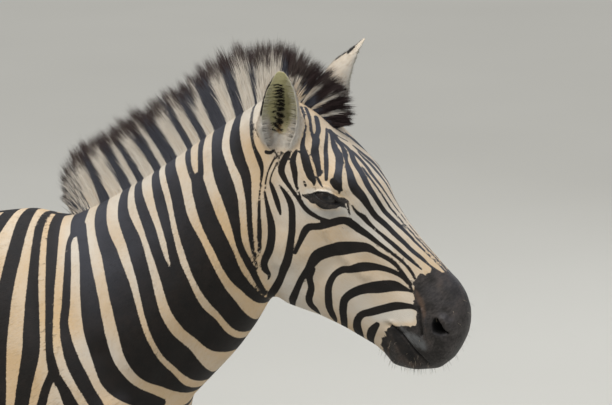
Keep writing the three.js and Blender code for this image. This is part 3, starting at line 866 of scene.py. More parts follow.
    def over(self, points: Array, normals: Array) -> dict[str, Array]:
        """The markings at each place.

        Args:
            points: Places on the hide.
            normals: The hide's directions outwards there.

        Returns:
            "ink", the depth inside dark hair in metres, and shares from 0 to 1: "tan", "grey", "straw",
            "bare", "deep", painted shade under the upper lip, "cool", a painted bluish sheen of sky light on
            the black where the hide faces up, and "uneven", how far the edges of the stripes wander with the
            hairs.
        """
        part = Region(points)
        ink = self.stripes(points, normals, part)
        tan = 0.50 + 0.16 * wobble(points, 0.22, 17) - 0.25 * part.legs - 0.12 * part.head
        tan = tan * (1 - 0.75 * self.covered(points, Ink.PALE, -0.010, 0.004))
        tan = tan * (1 - 0.6 * part.neck * eased(0.15, 0.7, normals[:, 2]))
        tan = np.maximum(np.clip(tan, 0, 0.62), 0.95 * self.covered(points, Ink.TAN, -0.008, 0.007))
        grey = self.covered(points, Ink.GREY, -0.010, 0.005)
        muzzle = self.muzzle(HEAD.local(points)) * (part.head > 0.5) - 0.05 * (part.head <= 0.5)
        eyelids = self.covered(points, Ink.BARE, -0.0015, 0.0015)
        bare = np.maximum(eased(-0.002, 0.003, muzzle), eyelids)
        # painted sheen: a bluish sheen of sky light on black hair and bare skin, strongest where the hide
        # faces up
        sky_sheen = eased(0.1, 0.8, normals[:, 2]) * np.clip(part.neck + part.head + 0.2 * part.trunk, 0, 1)
        # painted shade under the upper lip, from the strokes of that ink
        deep = 0.8 * self.covered(points, Ink.PAINTED_SHADOW, -0.004, 0.003)
        marks = {"ink": ink, "tan": tan, "grey": grey, "bare": bare, "deep": deep, "sky_sheen": sky_sheen}
        marks["uneven"] = 1.0 - 0.65 * part.head
        marks["straw"] = 0 * ink
        self.ears(points, normals, marks)
        marks["ink"] = np.clip(marks["ink"], -self.REACH, self.REACH)
        return marks


# ---- hide ----
@dataclass
class Bulge:
    """A swelling or hollow along a run of places in a side view: (X, Z) or (along, up), in millimetres."""

    places: Sequence[tuple[float, float]]
    width: float
    height: float

    def lift(self, flat: Array) -> Array:
        """How far it moves each place of a side view out, in metres."""
        line = np.array(self.places, float) * MM
        return self.height * MM * hump(away_from(flat, line), self.width * MM)


BODY_FORMS = (
    Bulge([(150, 1235), (215, 1090), (300, 950)], 24, 4),  # ridge of the shoulder blade
    Bulge([(120, 1130), (175, 1010)], 42, 4),  # muscle behind that ridge
    Bulge([(120, 930), (160, 880)], 52, 8),  # muscle above the elbow
    Bulge([(40, 1080), (66, 930), (60, 800)], 24, -7),  # hollow behind the elbow
    Bulge([(350, 950), (352, 930)], 30, 8),  # point of the shoulder
    Bulge([(310, 1050), (330, 985)], 26, -5),  # hollow before the shoulder
    Bulge([(560, 1175), (470, 1060), (400, 975)], 20, -6),  # groove along the throat
    Bulge([(560, 1270), (430, 1130), (360, 1040)], 42, 5),  # long muscle of the neck
    Bulge([(330, 1345), (480, 1440)], 30, 3),  # thick crest under the mane
    Bulge([(300, 1240), (400, 1320)], 40, -3),
    Bulge([(-300, 740), (-100, 720)], 34, 4),  # belly muscle
    Bulge([(-470, 1050), (-480, 960)], 48, -11),  # hollow of the flank
    Bulge([(-515, 1165), (-530, 1140)], 32, 9),  # point of the hip
    Bulge([(-640, 1215), (-800, 1170)], 50, 4),  # rump muscle
    Bulge([(-790, 1150), (-775, 1000), (-745, 860)], 20, -6),  # groove down the haunch
    Bulge([(-610, 850), (-612, 820)], 36, 7),  # stifle
    Bulge([(-560, 780), (-500, 770)], 26, -4),
)

FACE_FORMS = (
    Bulge([(118, -2), (140, -14)], 17, -4.5),  # hollow over the eye
    Bulge([(232, -84), (285, -92), (345, -84)], 9, 4.0),  # ridge of the cheek bone
    Bulge([(228, -58), (262, -46)], 14, -3),  # hollow before the eye
    Bulge([(200, -150), (240, -185)], 46, 4),  # big muscle of the jaw
    Bulge([(292, -120), (300, -190)], 16, -4),  # hollow before that muscle
    Bulge([(330, -60), (400, -44)], 16, -3.5),
    Bulge([(430, 4), (470, 8)], 13, -3),  # hollow above the nostril
    Bulge([(486, -4), (500, -2)], 8, -3.5),  # hollow over the nostril's inner rim
    Bulge([(496, -10), (509, -16), (524, -16)], 6, 4.2),  # upper rim of the nostril
    Bulge([(484, -46), (506, -50), (530, -40)], 7, 2.4),  # lower rim of the nostril
    Bulge([(470, -76), (500, -76), (548, -72)], 12, 2.0),  # upper lip
    Bulge([(480, -122), (505, -130), (536, -122)], 15, 3.5),  # lower lip and chin
    Bulge([(458, -138), (475, -140)], 12, -3),  # hollow behind the chin
    Bulge([(440, -112), (447, -107)], 5, -3),  # corner of the mouth
)


@dataclass
class Hide:
    """One skin round all the flesh, with lids, nostrils and lips shaped in it."""

    FLESH = ("trunk", "neck", "head", "tail", "ear_right", "ear_left", "eye_right", "eye_left")
    LEG_PARTS = tuple(f"{end}_{side}_{part}" for end in ("fore", "hind") for side in ("right", "left")
                      for part in ("upper", "lower"))
    GROWN = {"ear": 0.3 * MM, "eye": 0.5 * MM, "head": 1.7 * MM}  # closes the cuts between the solids
    LIPS = ((446, -107), (457, -101), (468, -98), (480, -96), (506, -95), (536, -93), (578, -96))
    NOSTRIL = ((490, -25, 5), (496, -29, 8), (504, -34, 7), (512, -31, 5), (519, -24, 3.2))
    FOLD = ((459, -36), (471, -41), (482, -48), (494, -54), (503, -60))
    voxel: float = 3 * MM
    quick_voxel: float = 5 * MM
    faces: int = 88_000
    levels: int = 24  # of coarseness, told apart when the skin is thinned
    longest: float = 1.6  # times the wanted length, over which an edge is halved
    rounds: int = 34  # of softening
    grown_else: float = 1.0 * MM
    coat_depth: float = 3 * MM
    lid: float = 3.2 * MM
    rib_step: float = 48 * MM
    rib_depth: float = 1.2 * MM

    def __post_init__(self) -> None:
        """Makes the skin and keeps its shape for what is laid on it."""
        self.piece = self.wrapped()
        self.thin()
        for _ in range(2):
            self.split_long()
        self.soften()
        self.refine()
        self.points = points_of(self.piece.data)
        self.triangles = triangles_of(self.piece.data)
        self.inset()
        self.shape_body()
        self.shape_face()
        self.shape_eyes()
        self.settle()

    # -- making --
    def wrapped(self) -> Object:
        """The flesh solids and eyeballs joined under one even skin."""
        points, triangles, count = [], [], 0
        for node in self.FLESH + self.LEG_PARTS:
            co, faces = merged_copy(node)
            grown = self.GROWN.get(node.split("_")[0], self.grown_else)
            points.append(co + normals_of(co, faces) * grown)
            triangles.append(faces + count)
            count += len(co)
        faces = np.concatenate(triangles)
        piece = mesh_object("zebra_hide", np.concatenate(points), faces.ravel(), np.full(len(faces), 3))
        add_skin(piece, self.voxel)
        apply_all(piece)
        return piece

    def edge_length(self, points: Array) -> Array:
        """Wanted length of the skin's edges at each place: finest on the head."""
        part = Region(points)
        x, _, z = points.T
        length = np.full(len(points), 15.0)
        length = np.where(z < 0.75, 10.5, length)
        length = np.where(z < 0.45, 8.5, length)
        length = mixed(length, 7.5, eased(-0.10, 0.0, x) * eased(0.82, 0.90, z))
        length = mixed(length, 6.2, part.neck)
        length = mixed(length, 4.4, np.maximum(part.head, part.ears))
        near_ear = eased(0.50, 0.56, x) * eased(1.2, 1.3, z)
        return np.minimum(length, mixed(15.0, 4.6, near_ear)) * MM

    def thin(self) -> None:
        """Thins the even skin to few faces on the body and many on the head."""
        length = self.edge_length(points_of(self.piece.data))
        kept = np.clip(np.round((1.0 - 2.95 * MM / length) * self.levels), 0.5, self.levels)
        group = self.piece.vertex_groups.new(name="coarseness")
        for level in np.unique(kept):
            group.add(np.nonzero(kept == level)[0].tolist(), float(level / self.levels), "REPLACE")
        thin = self.piece.modifiers.new("thin", "DECIMATE")
        thin.vertex_group = group.name
        thin.vertex_group_factor = 100.0
        thin.ratio = min(1.0, self.faces / (2 * len(self.piece.data.polygons)))
        thin.use_collapse_triangulate = True
        apply_all(self.piece)
        self.piece.vertex_groups.clear()

    def relaxed(self, points: Array, edges: Array, strength: Array) -> Array:
        """Moves each vertex towards the middle of its neighbours, again and again."""
        ends = np.concatenate([edges, edges[:, ::-1]])
        degree = np.bincount(ends[:, 0], minlength=len(points))[:, None]
        for _ in range(self.rounds):
            total = gathered(ends[:, 0], points[ends[:, 1]], len(points))
            points = points + (total / degree - points) * strength[:, None]
        return points

    def soften(self) -> None:
        """Smooths the flat facets of the solids away: much on the trunk and neck, little on the head."""
        mesh = self.piece.data
        points = points_of(mesh)
        part = Region(points)
        high_leg = part.legs * eased(0.5, 0.75, points[:, 2])
        strength = 0.75 * part.trunk + 0.7 * part.neck + 0.10 * part.head + 0.04 * part.ears
        strength = strength + 0.12 * part.tail + 0.07 * part.legs + 0.35 * high_leg
        set_points(mesh, self.relaxed(points, edges_of(mesh), np.clip(strength, 0.03, 0.8)))

    def refine(self) -> None:
        """Makes the faces finer round the eyes, on the muzzle, along the nose and at the back of the jaw."""
        for radius in (48 * MM, 32 * MM):
            self.split_within([(HEAD.EYE_ALONG, HEAD.eye_out, HEAD.EYE_UP)], radius)
        lips, nostril, fold = (500, 45, -102), (505, 50, -25), (480, 55, -50)
        self.split_within([tuple(value * MM for value in spot) for spot in (lips, nostril, fold)], 30 * MM)
        ridge = [(along * MM, 6 * MM, (-0.06 * along - 2) * MM) for along in range(240, 430, 22)]
        self.split_within(ridge, 17 * MM)
        jaw = [(along * MM, 78 * MM, (-0.75 * along - 42) * MM) for along in range(30, 110, 16)]
        self.split_within(jaw, 19 * MM)

    def split_within(self, centres: Sequence[Place], radius: float) -> None:
        """Halves the edges within a radius of places given in the head's frame, on both sides."""
        local = HEAD.local(points_of(self.piece.data))
        local[:, 1] = np.abs(local[:, 1])
        away = np.min([np.linalg.norm(local - np.array(centre), axis=1) for centre in centres], axis=0)
        near = away < radius
        self.halve(near[edges_of(self.piece.data)].all(axis=1), 0.6)

    def split_long(self) -> None:
        """Halves the edges that thinning left too long to hold the markings."""
        points, ends = points_of(self.piece.data), edges_of(self.piece.data)
        span = np.linalg.norm(points[ends[:, 0]] - points[ends[:, 1]], axis=1)
        wanted = self.edge_length((points[ends[:, 0]] + points[ends[:, 1]]) / 2)
        self.halve(span > self.longest * wanted, 0.0)

    def halve(self, chosen: Array, roundness: float) -> None:
        """Cuts the chosen edges at their middles, and their faces with them.

        A middle that both its faces are cut off from is a flap with no width, and goes again.

        Args:
            chosen: Whether to cut each edge.
            roundness: How far the middles are pushed out to keep the skin round.
        """
        shape = bmesh.new()
        shape.from_mesh(self.piece.data)
        shape.edges.ensure_lookup_table()
        edges = [shape.edges[index] for index in np.nonzero(chosen)[0].tolist()]
        bmesh.ops.subdivide_edges(shape, edges=edges, cuts=1, use_grid_fill=True, smooth=roundness)
        bmesh.ops.triangulate(shape, faces=[face for face in shape.faces if len(face.verts) > 3])
        while flaps := [vert for vert in shape.verts if len(vert.link_edges) < 3]:
            bmesh.ops.delete(shape, geom=flaps, context="VERTS")
        shape.to_mesh(self.piece.data)
        shape.free()

    # -- shaping --
    @property
    def normals(self) -> Array:
        """The skin's directions outwards."""
        return normals_of(self.points, self.triangles)

    def inset(self) -> None:
        """Sets the skin in by the depth of the coat, less on the ears, and least on bare skin."""
        part = Region(self.points)
        local = HEAD.local(self.points)
        muzzle = eased(0.40, 0.46, local[:, 0]) * (part.head > 0.5)
        depth = self.coat_depth + self.grown_else
        depth = depth * (1 - part.ears) + 0.6 * MM * part.ears
        depth = depth - 1.0 * MM * part.head - 1.9 * MM * muzzle - 1.5 * MM * part.trunk
        for ear, side in zip(EARS, SIDES):
            outside, turn, share = ear.sides(self.points, self.normals)
            lobe = np.exp(-(((share - 0.27) / 0.12) ** 2) - ((turn * side - 88) / 38) ** 2)
            depth = depth - 7 * MM * lobe * outside * ear.holds(self.points)
        self.points = self.points - self.normals * depth[:, None]

    def shape_body(self) -> None:
        """Raises the muscles and bones of neck, trunk and haunches on both flanks."""
        part = Region(self.points)
        normals = self.normals
        x, _, z = self.points.T
        lift = sum(form.lift(self.points[:, [0, 2]]) for form in BODY_FORMS)
        ribs = self.rib_depth * np.sin(2 * math.pi * (x + 0.15 * z) / self.rib_step)
        ribs = ribs * eased(-0.42, -0.30, x) * (1 - eased(-0.06, 0.02, x))
        ribs = ribs * hump(z - 0.93, 0.13)
        side = eased(0.15, 0.6, np.abs(normals[:, 1])) * np.clip(part.trunk + part.neck + part.legs, 0, 1)
        side = side * eased(0.62, 0.74, z)
        self.points = self.points + normals * ((lift + ribs) * side)[:, None]

    def shape_face(self) -> None:
        """Raises the bones and muscles of the face, and sinks the nostrils and the line of the mouth."""
        part = Region(self.points)
        normals = self.normals
        local = HEAD.local(self.points)
        flat = local[:, [0, 2]]
        lift = sum(form.lift(flat) for form in FACE_FORMS)
        side = eased(0.1, 0.55, np.abs(normals[:, 1])) * (part.head > 0.3)
        move = normals * (lift * side)[:, None]
        out = np.sign(self.points[:, 1:2]) * np.array([[0.0, 1.0, 0.0]])
        lips = np.array(self.LIPS, float) * MM
        away = away_from(flat, lips)
        groove = 8.0 * MM * hump(away, 2.4 * MM)
        line_up = np.interp(local[:, 0], lips[:, 0], lips[:, 1])
        above = eased(-2 * MM, 4 * MM, local[:, 2] - line_up)
        groove = groove + hump(away - 7 * MM, 6 * MM) * mixed(2.6 * MM, -2.2 * MM, above)
        behind_tip = 1 - eased(0.532, 0.556, local[:, 0])
        groove = groove * behind_tip
        front = (local[:, 0] > 0.44) & (part.head > 0.5)
        move = move - normals * (groove * front)[:, None]
        fold = np.array(self.FOLD, float) * MM
        for shift, width, height in ((0.0, 3.0, 3.2), (-6.5, 3.0, -4.5)):
            beside = away_from(flat - np.array([shift, shift * 0.4]) * MM, fold)
            move = move + normals * (height * MM * hump(beside, width * MM) * side)[:, None]
        # the crease, along which shade is painted on the skin
        self.crease = hump(beside, 2.6 * MM) * front * (side > 0.3)
        hole = np.array(self.NOSTRIL, float) * MM
        depth = reach_inside(flat, hole[:, :2], hole[:, 2])
        sunk = eased(-1.5 * MM, 4 * MM, depth) * eased(0.030, 0.040, np.abs(local[:, 1]))
        move = move - out * (sunk * 15 * MM * front)[:, None]
        self.points = self.points + move
        self.nostril = eased(-2 * MM, 1 * MM, depth) * front
        self.mouth = hump(away, 2.8 * MM) * front * behind_tip

    def shape_eyes(self) -> None:
        """Draws the lids over each eyeball and opens them to its glossy front."""
        self.open_eye = np.zeros(len(self.points))
        for side in SIDES:
            eye = EyeSocket(side)
            radius, reach, u, v = eye.polar(self.points)
            inside = eye.aperture(u, v)
            ball = HEAD.eye_radius
            cover = ball + self.lid - 1.0 * MM
            near = eased(0.15, 0.45, reach) * (radius < ball + 22 * MM)
            wanted = np.maximum(radius, cover)
            rim = 1.1 * MM * hump(inside + 1.6 * MM, 2.2 * MM)
            upper = v > eye.middle(u)
            crease = -2.2 * MM * hump(inside + 7.0 * MM, 1.5 * MM)
            fold = 2.2 * MM * hump(inside + 11 * MM, 3 * MM)
            bag = -0.8 * MM * hump(inside + 9 * MM, 1.6 * MM)
            wanted = wanted + rim + np.where(upper, crease + fold, bag) * eased(0.3, 0.6, reach)
            open_share = eased(0.0, 1.3 * MM, inside)
            wanted = mixed(wanted, ball - 5 * MM, open_share * (reach > 0.3))
            centre = eye.centre
            moved = centre + unit(self.points - centre) * wanted[:, None]
            self.points = mixed(self.points, moved, near[:, None])
            self.open_eye = np.maximum(self.open_eye, eased(-3.5 * MM, -0.5 * MM, inside) * near)

    def settle(self) -> None:
        """Writes the shape back to the mesh and finds the faces of the finished hide."""
        set_points(self.piece.data, self.points)
        self.piece.data.shade_smooth()
        self.tree = BVHTree.FromPolygons(self.points.tolist(), self.triangles.tolist())

    # -- dressing --
    def dress(self, markings: Markings, material: Material) -> None:
        """Stores the markings on the hide and gives it its finish.

        Args:
            markings: The stripes and tints.
            material: The hide's material.
        """
        self.markings = markings
        self.marks = markings.over(self.points, self.normals)
        wet = np.maximum(self.open_eye, np.maximum(self.nostril, 0.7 * self.mouth))
        self.marks["bare"] = np.maximum(self.marks["bare"], wet)
        # painted shade: near black in the mouth line, the nostril fold and holes, and round each eyeball
        shaded = np.maximum(0.85 * self.mouth, 0.6 * self.crease)
        shaded = np.maximum(shaded, self.marks["deep"])
        self.marks["deep"] = np.maximum(self.nostril, np.maximum(shaded, 0.75 * self.open_eye))
        for name, values in self.marks.items():
            paint(self.piece, name, values)
        comb, calm = self.combed()
        paint(self.piece, "comb", comb)
        paint(self.piece, "calm", calm)
        worn(self.piece, material)
        flesh = [node for node in self.FLESH if not node.startswith("eye")]
        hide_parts(*flesh, *self.LEG_PARTS)

    def combed(self) -> tuple[Array, Array]:
        """Places for streaks along the lie of the hair, and how near each one is to a change of lie.

        Returns:
            Places along the hair, across it and off the body's middle; and 1 away from any change of lie,
            falling to 0 at it.
        """
        part = Region(self.points)
        local = HEAD.local(self.points)
        turn = HEAD.turn(local)
        face = np.stack([local[:, 0], turn * 0.09, 0 * turn], -1)
        x, y, z = self.points.T
        neck = np.stack([0.55 * x + 0.8 * z, 0.8 * x - 0.55 * z, y], -1)
        trunk = np.stack([0.85 * x + 0.5 * z, 0.5 * x - 0.85 * z, y], -1)
        legs = np.stack([z, x, y], -1)
        comb, calm = trunk, np.ones(len(x))
        for share, other in ((part.neck, neck), (part.legs, legs), (part.head, face)):
            comb = np.where(share[:, None] > 0.5, other, comb)
            calm = np.minimum(calm, eased(0.1, 0.9, np.abs(2.0 * share - 1.0)))
        return comb, calm


class EyeSocket:
    """The slit of one eye, seen from the middle of the eyeball."""

    OUTWARD = (0.08, 0.93, 0.26)  # the way that the eye looks, in the head's frame
    SLIT = (0.80, 0.0, 0.50)  # the way from its rear corner to its front corner
    HALF, UPPER, LOWER = 0.94, 0.40, 0.22  # of the slit, on a ball of radius 1

    def __init__(self, side: int) -> None:
        """Places the socket on one side of the head."""
        mirror = np.array([1.0, side, 1.0])
        self.centre = HEAD.world(np.array([HEAD.EYE_ALONG, side * HEAD.eye_out, HEAD.EYE_UP]))
        self.outward = unit(HEAD.turned(np.array(self.OUTWARD) * mirror))
        slit = HEAD.turned(np.array(self.SLIT) * mirror)
        self.slit = unit(slit - self.outward * (slit @ self.outward))
        lift = np.cross(self.outward, self.slit)
        self.lift = lift * np.sign(lift[2])

    def polar(self, points: Array) -> tuple[Array, Array, Array, Array]:
        """Distance from the eyeball's middle, and the direction from it: outward, along the slit, and up."""
        away = points - self.centre
        radius = np.linalg.norm(away, axis=1)
        way = away / (radius[:, None] + 1e-9)
        return radius, way @ self.outward, way @ self.slit, way @ self.lift

    def middle(self, u: Array) -> Array:
        """Height of the line through both corners of the eye."""
        return -0.06 + 0.0 * u

    def aperture(self, u: Array, v: Array) -> Array:
        """How far inside the open slit a direction points, in metres over the ball."""
        bow = np.clip(1.0 - (u / self.HALF) ** 2, 0.0, 1.0)
        top = self.middle(u) + self.UPPER * bow**0.75
        bottom = self.middle(u) - self.LOWER * bow
        ends = (self.HALF - np.abs(u)) * 0.9
        return np.minimum(np.minimum(top - v, v - bottom), ends) * HEAD.eye_radius


# ---- shader tools ----
class Wire:
    """A value in a material: sums and products of wires make the nodes that work them out."""

    def __init__(self, maker: "Finish", socket: NodeSocket) -> None:
        """Wraps one output socket."""
        self.maker = maker
        self.socket = socket

    def _math(self, operation: str, *values: Union["Wire", float]) -> "Wire":
        return self.maker.node("ShaderNodeMath", {"operation": operation}, dict(enumerate(values)))

    def __add__(self, other: Union["Wire", float]) -> "Wire":
        """This plus the other."""
        return self._math("ADD", self, other)

    def __radd__(self, other: float) -> "Wire":
        """The other plus this."""
        return self._math("ADD", other, self)

    def __sub__(self, other: Union["Wire", float]) -> "Wire":
        """This less the other."""
        return self._math("SUBTRACT", self, other)

    def __rsub__(self, other: float) -> "Wire":
        """The other less this."""
        return self._math("SUBTRACT", other, self)

    def __mul__(self, other: Union["Wire", float]) -> "Wire":
        """This times the other."""
        return self._math("MULTIPLY", self, other)

    def between(self, low: float, high: float) -> "Wire":
        """A smooth step from 0 at low to 1 at high."""
        settings = {"interpolation_type": "SMOOTHSTEP", "clamp": True}
        return self.maker.node("ShaderNodeMapRange", settings, {0: self, 1: low, 2: high, 3: 0.0, 4: 1.0})


class Finish:
    """A material under construction, with a Principled shader at its end."""

    def __init__(self, name: str, **fixed: Union[float, Colour]) -> None:
        """Starts a material.

        Args:
            name: The finish's name.
            fixed: Values that are the same all over, by the shader socket's name with _ for a space.
        """
        self.material = bpy.data.materials.new(name)
        self.material.use_nodes = True
        self.tree = self.material.node_tree
        self.tree.nodes.clear()
        self.shader = self.tree.nodes.new("ShaderNodeBsdfPrincipled")
        output = self.tree.nodes.new("ShaderNodeOutputMaterial")
        self.tree.links.new(self.shader.outputs[0], output.inputs["Surface"])
        for key, value in fixed.items():
            self.shader.inputs[key.replace("_", " ")].default_value = value

    def node(self, kind: str, settings: dict, inputs: dict, output: Union[int, str] = 0) -> Wire:
        """Adds a node.

        Args:
            kind: The node's type.
            settings: Its properties, set first.
            inputs: Values or wires, by the name or number of their socket.
            output: The output to hand back.

        Returns:
            The wire from that output.
        """
        node = self.tree.nodes.new(kind)
        for key, value in settings.items():
            setattr(node, key, value)
        for key, value in inputs.items():
            if isinstance(value, Wire):
                self.tree.links.new(value.socket, node.inputs[key])
            else:
                node.inputs[key].default_value = value
        return Wire(self, node.outputs[output])

    def stored(self, name: str, output: str = "Fac") -> Wire:
        """A value stored on the piece's vertices."""
        return self.node("ShaderNodeAttribute", {"attribute_name": name}, {}, output)

    def place(self) -> Wire:
        """The place on the piece, in metres."""
        return self.node("ShaderNodeTexCoord", {}, {}, "Object")

    def scaled(self, vector: Wire, scale: Place) -> Wire:
        """A vector with each part scaled."""
        return self.node("ShaderNodeVectorMath", {"operation": "MULTIPLY"}, {0: vector, 1: scale})

    def noise(self, vector: Wire, scale: float, detail: float = 2.0, roughness: float = 0.5) -> Wire:
        """Cloudy noise about 0.5."""
        inputs = {"Vector": vector, "Scale": scale, "Detail": detail, "Roughness": roughness}
        return self.node("ShaderNodeTexNoise", {}, inputs)

    def blend(self, share: Union[Wire, float], a: Union[Wire, Colour], b: Union[Wire, Colour]) -> Wire:
        """A colour from a to b."""
        return self.node("ShaderNodeMix", {"data_type": "RGBA"}, {0: share, 6: a, 7: b}, 2)

    def feed(self, **wires: Wire) -> "Finish":
        """Links wires to the shader's sockets, by name with _ for a space."""
        for key, wire in wires.items():
            self.tree.links.new(wire.socket, self.shader.inputs[key.replace("_", " ")])
        return self

    def bumped(self, height: Wire, distance: float, strength: float = 1.0) -> "Finish":
        """Raises the surface by a height field."""
        inputs = {"Height": height, "Distance": distance, "Strength": strength}
        return self.feed(Normal=self.node("ShaderNodeBump", {}, inputs))


def rgb(red: float, green: float, blue: float) -> Colour:
    """A colour from screen values of 0 to 255."""
    return tuple(((value / 255.0 + 0.055) / 1.055) ** 2.4 for value in (red, green, blue)) + (1.0,)


@dataclass(frozen=True)
class ZebraColours:
    """The colours that hide, coat and mane share."""

    pale: Colour = rgb(204, 198, 188)
    cream: Colour = rgb(196, 168, 130)
    tan: Colour = rgb(138, 104, 62)
    grey: Colour = rgb(170, 168, 162)
    straw: Colour = rgb(196, 190, 140)
    black: Colour = rgb(18, 16, 14)
    brown_black: Colour = rgb(36, 29, 25)
    # painted sheen of sky light on black hair that faces up
    sky_sheen_black: Colour = rgb(80, 84, 96)
    bare: Colour = rgb(30, 27, 25)
    bare_light: Colour = rgb(68, 63, 61)
    # painted sheen of sky light on bare skin that faces up
    bare_sky_sheen: Colour = rgb(58, 57, 61)
    bare_brown: Colour = rgb(108, 84, 66)
    # grey fur on the bare skin of lips and lids, and a painted highlight on the nostril's rim
    bare_grey_and_highlight: Colour = rgb(92, 93, 94)
    # painted shade: near black in the mouth, the nostrils, the creases and round the eyeballs
    deep: Colour = rgb(9, 8, 8)
    tip: Colour = rgb(42, 27, 25)


COLOURS = ZebraColours()


class CoatFinish(Finish):
    """A material for striped hair, which hide and locks share."""

    def hair(self, edge: Wire, warmth: Wire, brownness: Wire) -> Wire:
        """The colour of hair.

        Args:
            edge: Depth inside dark hair, in metres, with its ragged edge.
            warmth: How creamy the pale hair is.
            brownness: How brown the dark hair is.

        Returns:
            The colour.
        """
        pale = self.blend(warmth.between(0.0, 1.0), COLOURS.pale, COLOURS.cream)
        pale = self.blend(self.stored("grey") * 0.85, pale, COLOURS.grey)
        pale = self.blend(self.stored("straw") * 0.9, pale, COLOURS.straw)
        pale = self.blend(self.stored("tan").between(0.64, 0.95), pale, COLOURS.tan)
        black = self.blend(brownness, COLOURS.black, COLOURS.brown_black)
        # painted sheen: the black turns bluish where the hide faces up, as if lit by the sky
        black = self.blend(self.stored("sky_sheen") * 0.55, black, COLOURS.sky_sheen_black)
        return self.blend(edge.between(-0.9 * MM, 0.9 * MM), pale, black)


@dataclass(frozen=True)
class HideFinish:
    """Short striped hair over the skin, and bare dark skin on the muzzle and round the eyes."""

    ragged: float = 2.2 * MM  # how far the edge of a stripe wanders with its hairs
    hair_streaks: Place = (90.0, 620.0, 620.0)

    def make(self) -> Material:
        """Builds the material."""
        finish = CoatFinish("short_coat", Sheen_Weight=0.03, Sheen_Roughness=0.5, Specular_IOR_Level=0.24)
        comb = finish.stored("comb", "Vector")
        calm = finish.stored("calm")
        streaks = (finish.noise(finish.scaled(comb, self.hair_streaks), 1.0, 2.0, 0.6) - 0.5) * calm + 0.5
        broad = finish.noise(finish.place(), 11.0, 3.0)
        patch = finish.noise(finish.place(), 42.0, 3.0)
        hairs = (streaks - 0.5) * (2 * self.ragged) + (patch - 0.5) * self.ragged
        edge = finish.stored("ink") + hairs * finish.stored("uneven")
        warmth = finish.stored("tan") * 1.3 + (broad - 0.5) * 0.7 + (streaks - 0.5) * 0.5
        hair = finish.hair(edge, warmth, (patch * 0.6 + streaks * 0.5).between(0.35, 0.9))
        cells = {"Vector": finish.place(), "Scale": 420.0}
        pores = finish.node("ShaderNodeTexVoronoi", {}, cells, "Distance")
        creased = finish.noise(finish.scaled(comb, (260.0, 120.0, 120.0)), 1.0, 3.0)
        light = (patch * 0.8 + broad + creased * 0.7 - 1.25).between(-0.2, 0.4)
        skin = finish.blend(light, COLOURS.bare, COLOURS.bare_light)
        # painted sheen: the bare skin turns bluish grey where it faces up, as if lit by the sky
        skin = finish.blend(finish.stored("sky_sheen") * 0.6, skin, COLOURS.bare_sky_sheen)
        browned = (finish.stored("tan") + (patch - 0.5) * 0.9).between(0.45, 1.3)
        skin = finish.blend(browned * 0.6, skin, COLOURS.bare_brown)
        # grey fur round the lips and lids, and a painted highlight on the nostril's rim, on bare skin
        grey_fur_and_highlight = (finish.stored("grey") + (streaks - 0.5) * 1.6 + (patch - 0.5) * 1.6).between(0.2, 1.3)
        skin = finish.blend(grey_fur_and_highlight * finish.stored("grey"), skin, COLOURS.bare_grey_and_highlight)
        # painted shade: near black where the mouth, the nostrils, the creases and the eyelids hold shade
        skin = finish.blend(finish.stored("deep"), skin, COLOURS.deep)
        bare = (finish.stored("bare") + (streaks - 0.5) * 0.7).between(0.3, 0.7)
        rough = 0.66 + streaks * 0.14 - bare * 0.18
        relief = streaks * (1.0 - bare) + bare * (pores * 0.5 + creased * 0.8)
        finish.feed(Base_Color=finish.blend(bare, hair, skin), Roughness=rough)
        return finish.bumped(relief, 0.9 * MM, 0.8).material


@dataclass(frozen=True)
class LockFinish:
    """Hair in locks: the hide's markings at the root, and a tint towards the tip."""

    name: str
    tipped: bool = False  # dark tips, from where each hair's "tip_from" says

    def make(self) -> Material:
        """Builds the material."""
        finish = CoatFinish(self.name, Sheen_Weight=0.03, Specular_IOR_Level=0.2)
        tone = finish.stored("tone")
        edge = finish.stored("ink") + (tone - 0.5) * 1.6 * MM
        warmth = finish.stored("tan") * 1.3 + (tone - 0.5) * 0.5
        colour = finish.hair(edge, warmth, tone)
        if self.tipped:
            tip = (finish.stored("grown") - finish.stored("tip_from")).between(0.0, 0.14)
            colour = finish.blend(tip * 0.96, colour, COLOURS.tip)
        shade = finish.blend(tone * 0.14, colour, COLOURS.brown_black)
        return finish.feed(Base_Color=shade, Roughness=0.58 + tone * 0.2).material


@dataclass(frozen=True)
class HornFinish:
    """Hoof horn, ringed by its growth."""

    def make(self) -> Material:
        """Builds the material."""
        finish = Finish("hoof_horn", Specular_IOR_Level=0.4)
        place = finish.place()
        rings = finish.noise(finish.scaled(place, (4.0, 4.0, 190.0)), 1.0, 2.0)
        grain = finish.noise(finish.scaled(place, (260.0, 260.0, 16.0)), 1.0, 2.0)
        dust = finish.noise(place, 38.0, 4.0)
        height = finish.node("ShaderNodeSeparateXYZ", {}, {0: place}, 2)
        horn = finish.blend((rings * 0.7 + grain * 0.4).between(0.3, 0.8), rgb(46, 40, 37), rgb(86, 76, 68))
        dusty = (dust + 0.35 - height * 9.0).between(0.45, 0.95)
        colour = finish.blend(dusty * 0.6, horn, rgb(132, 116, 96))
        rough = 0.42 + dust * 0.25 + dusty * 0.15
        finish.feed(Base_Color=colour, Roughness=rough)
        return finish.bumped(rings + grain * 0.4, 1.2 * MM, 0.7).material


@dataclass(frozen=True)
class EyeFinish:
    """A dark wet eye: a brown iris round a long level pupil, and a darker ring at its edge."""

    def make(self) -> Material:
        """Builds the material."""
        finish = Finish("wet_eye", Roughness=0.35, Coat_Weight=0.4, Coat_Roughness=0.2, IOR=1.38)
        look = finish.stored("look")
        fibre = finish.noise(finish.stored("fibre", "Vector"), 6.0, 3.0)
        iris = finish.blend(fibre, rgb(18, 12, 10), rgb(36, 26, 19))
        white = finish.blend((look * -1.0).between(-0.62, -0.5), iris, rgb(28, 24, 23))
        colour = finish.blend(finish.stored("pupil"), white, rgb(6, 6, 9))
        return finish.feed(Base_Color=colour).material


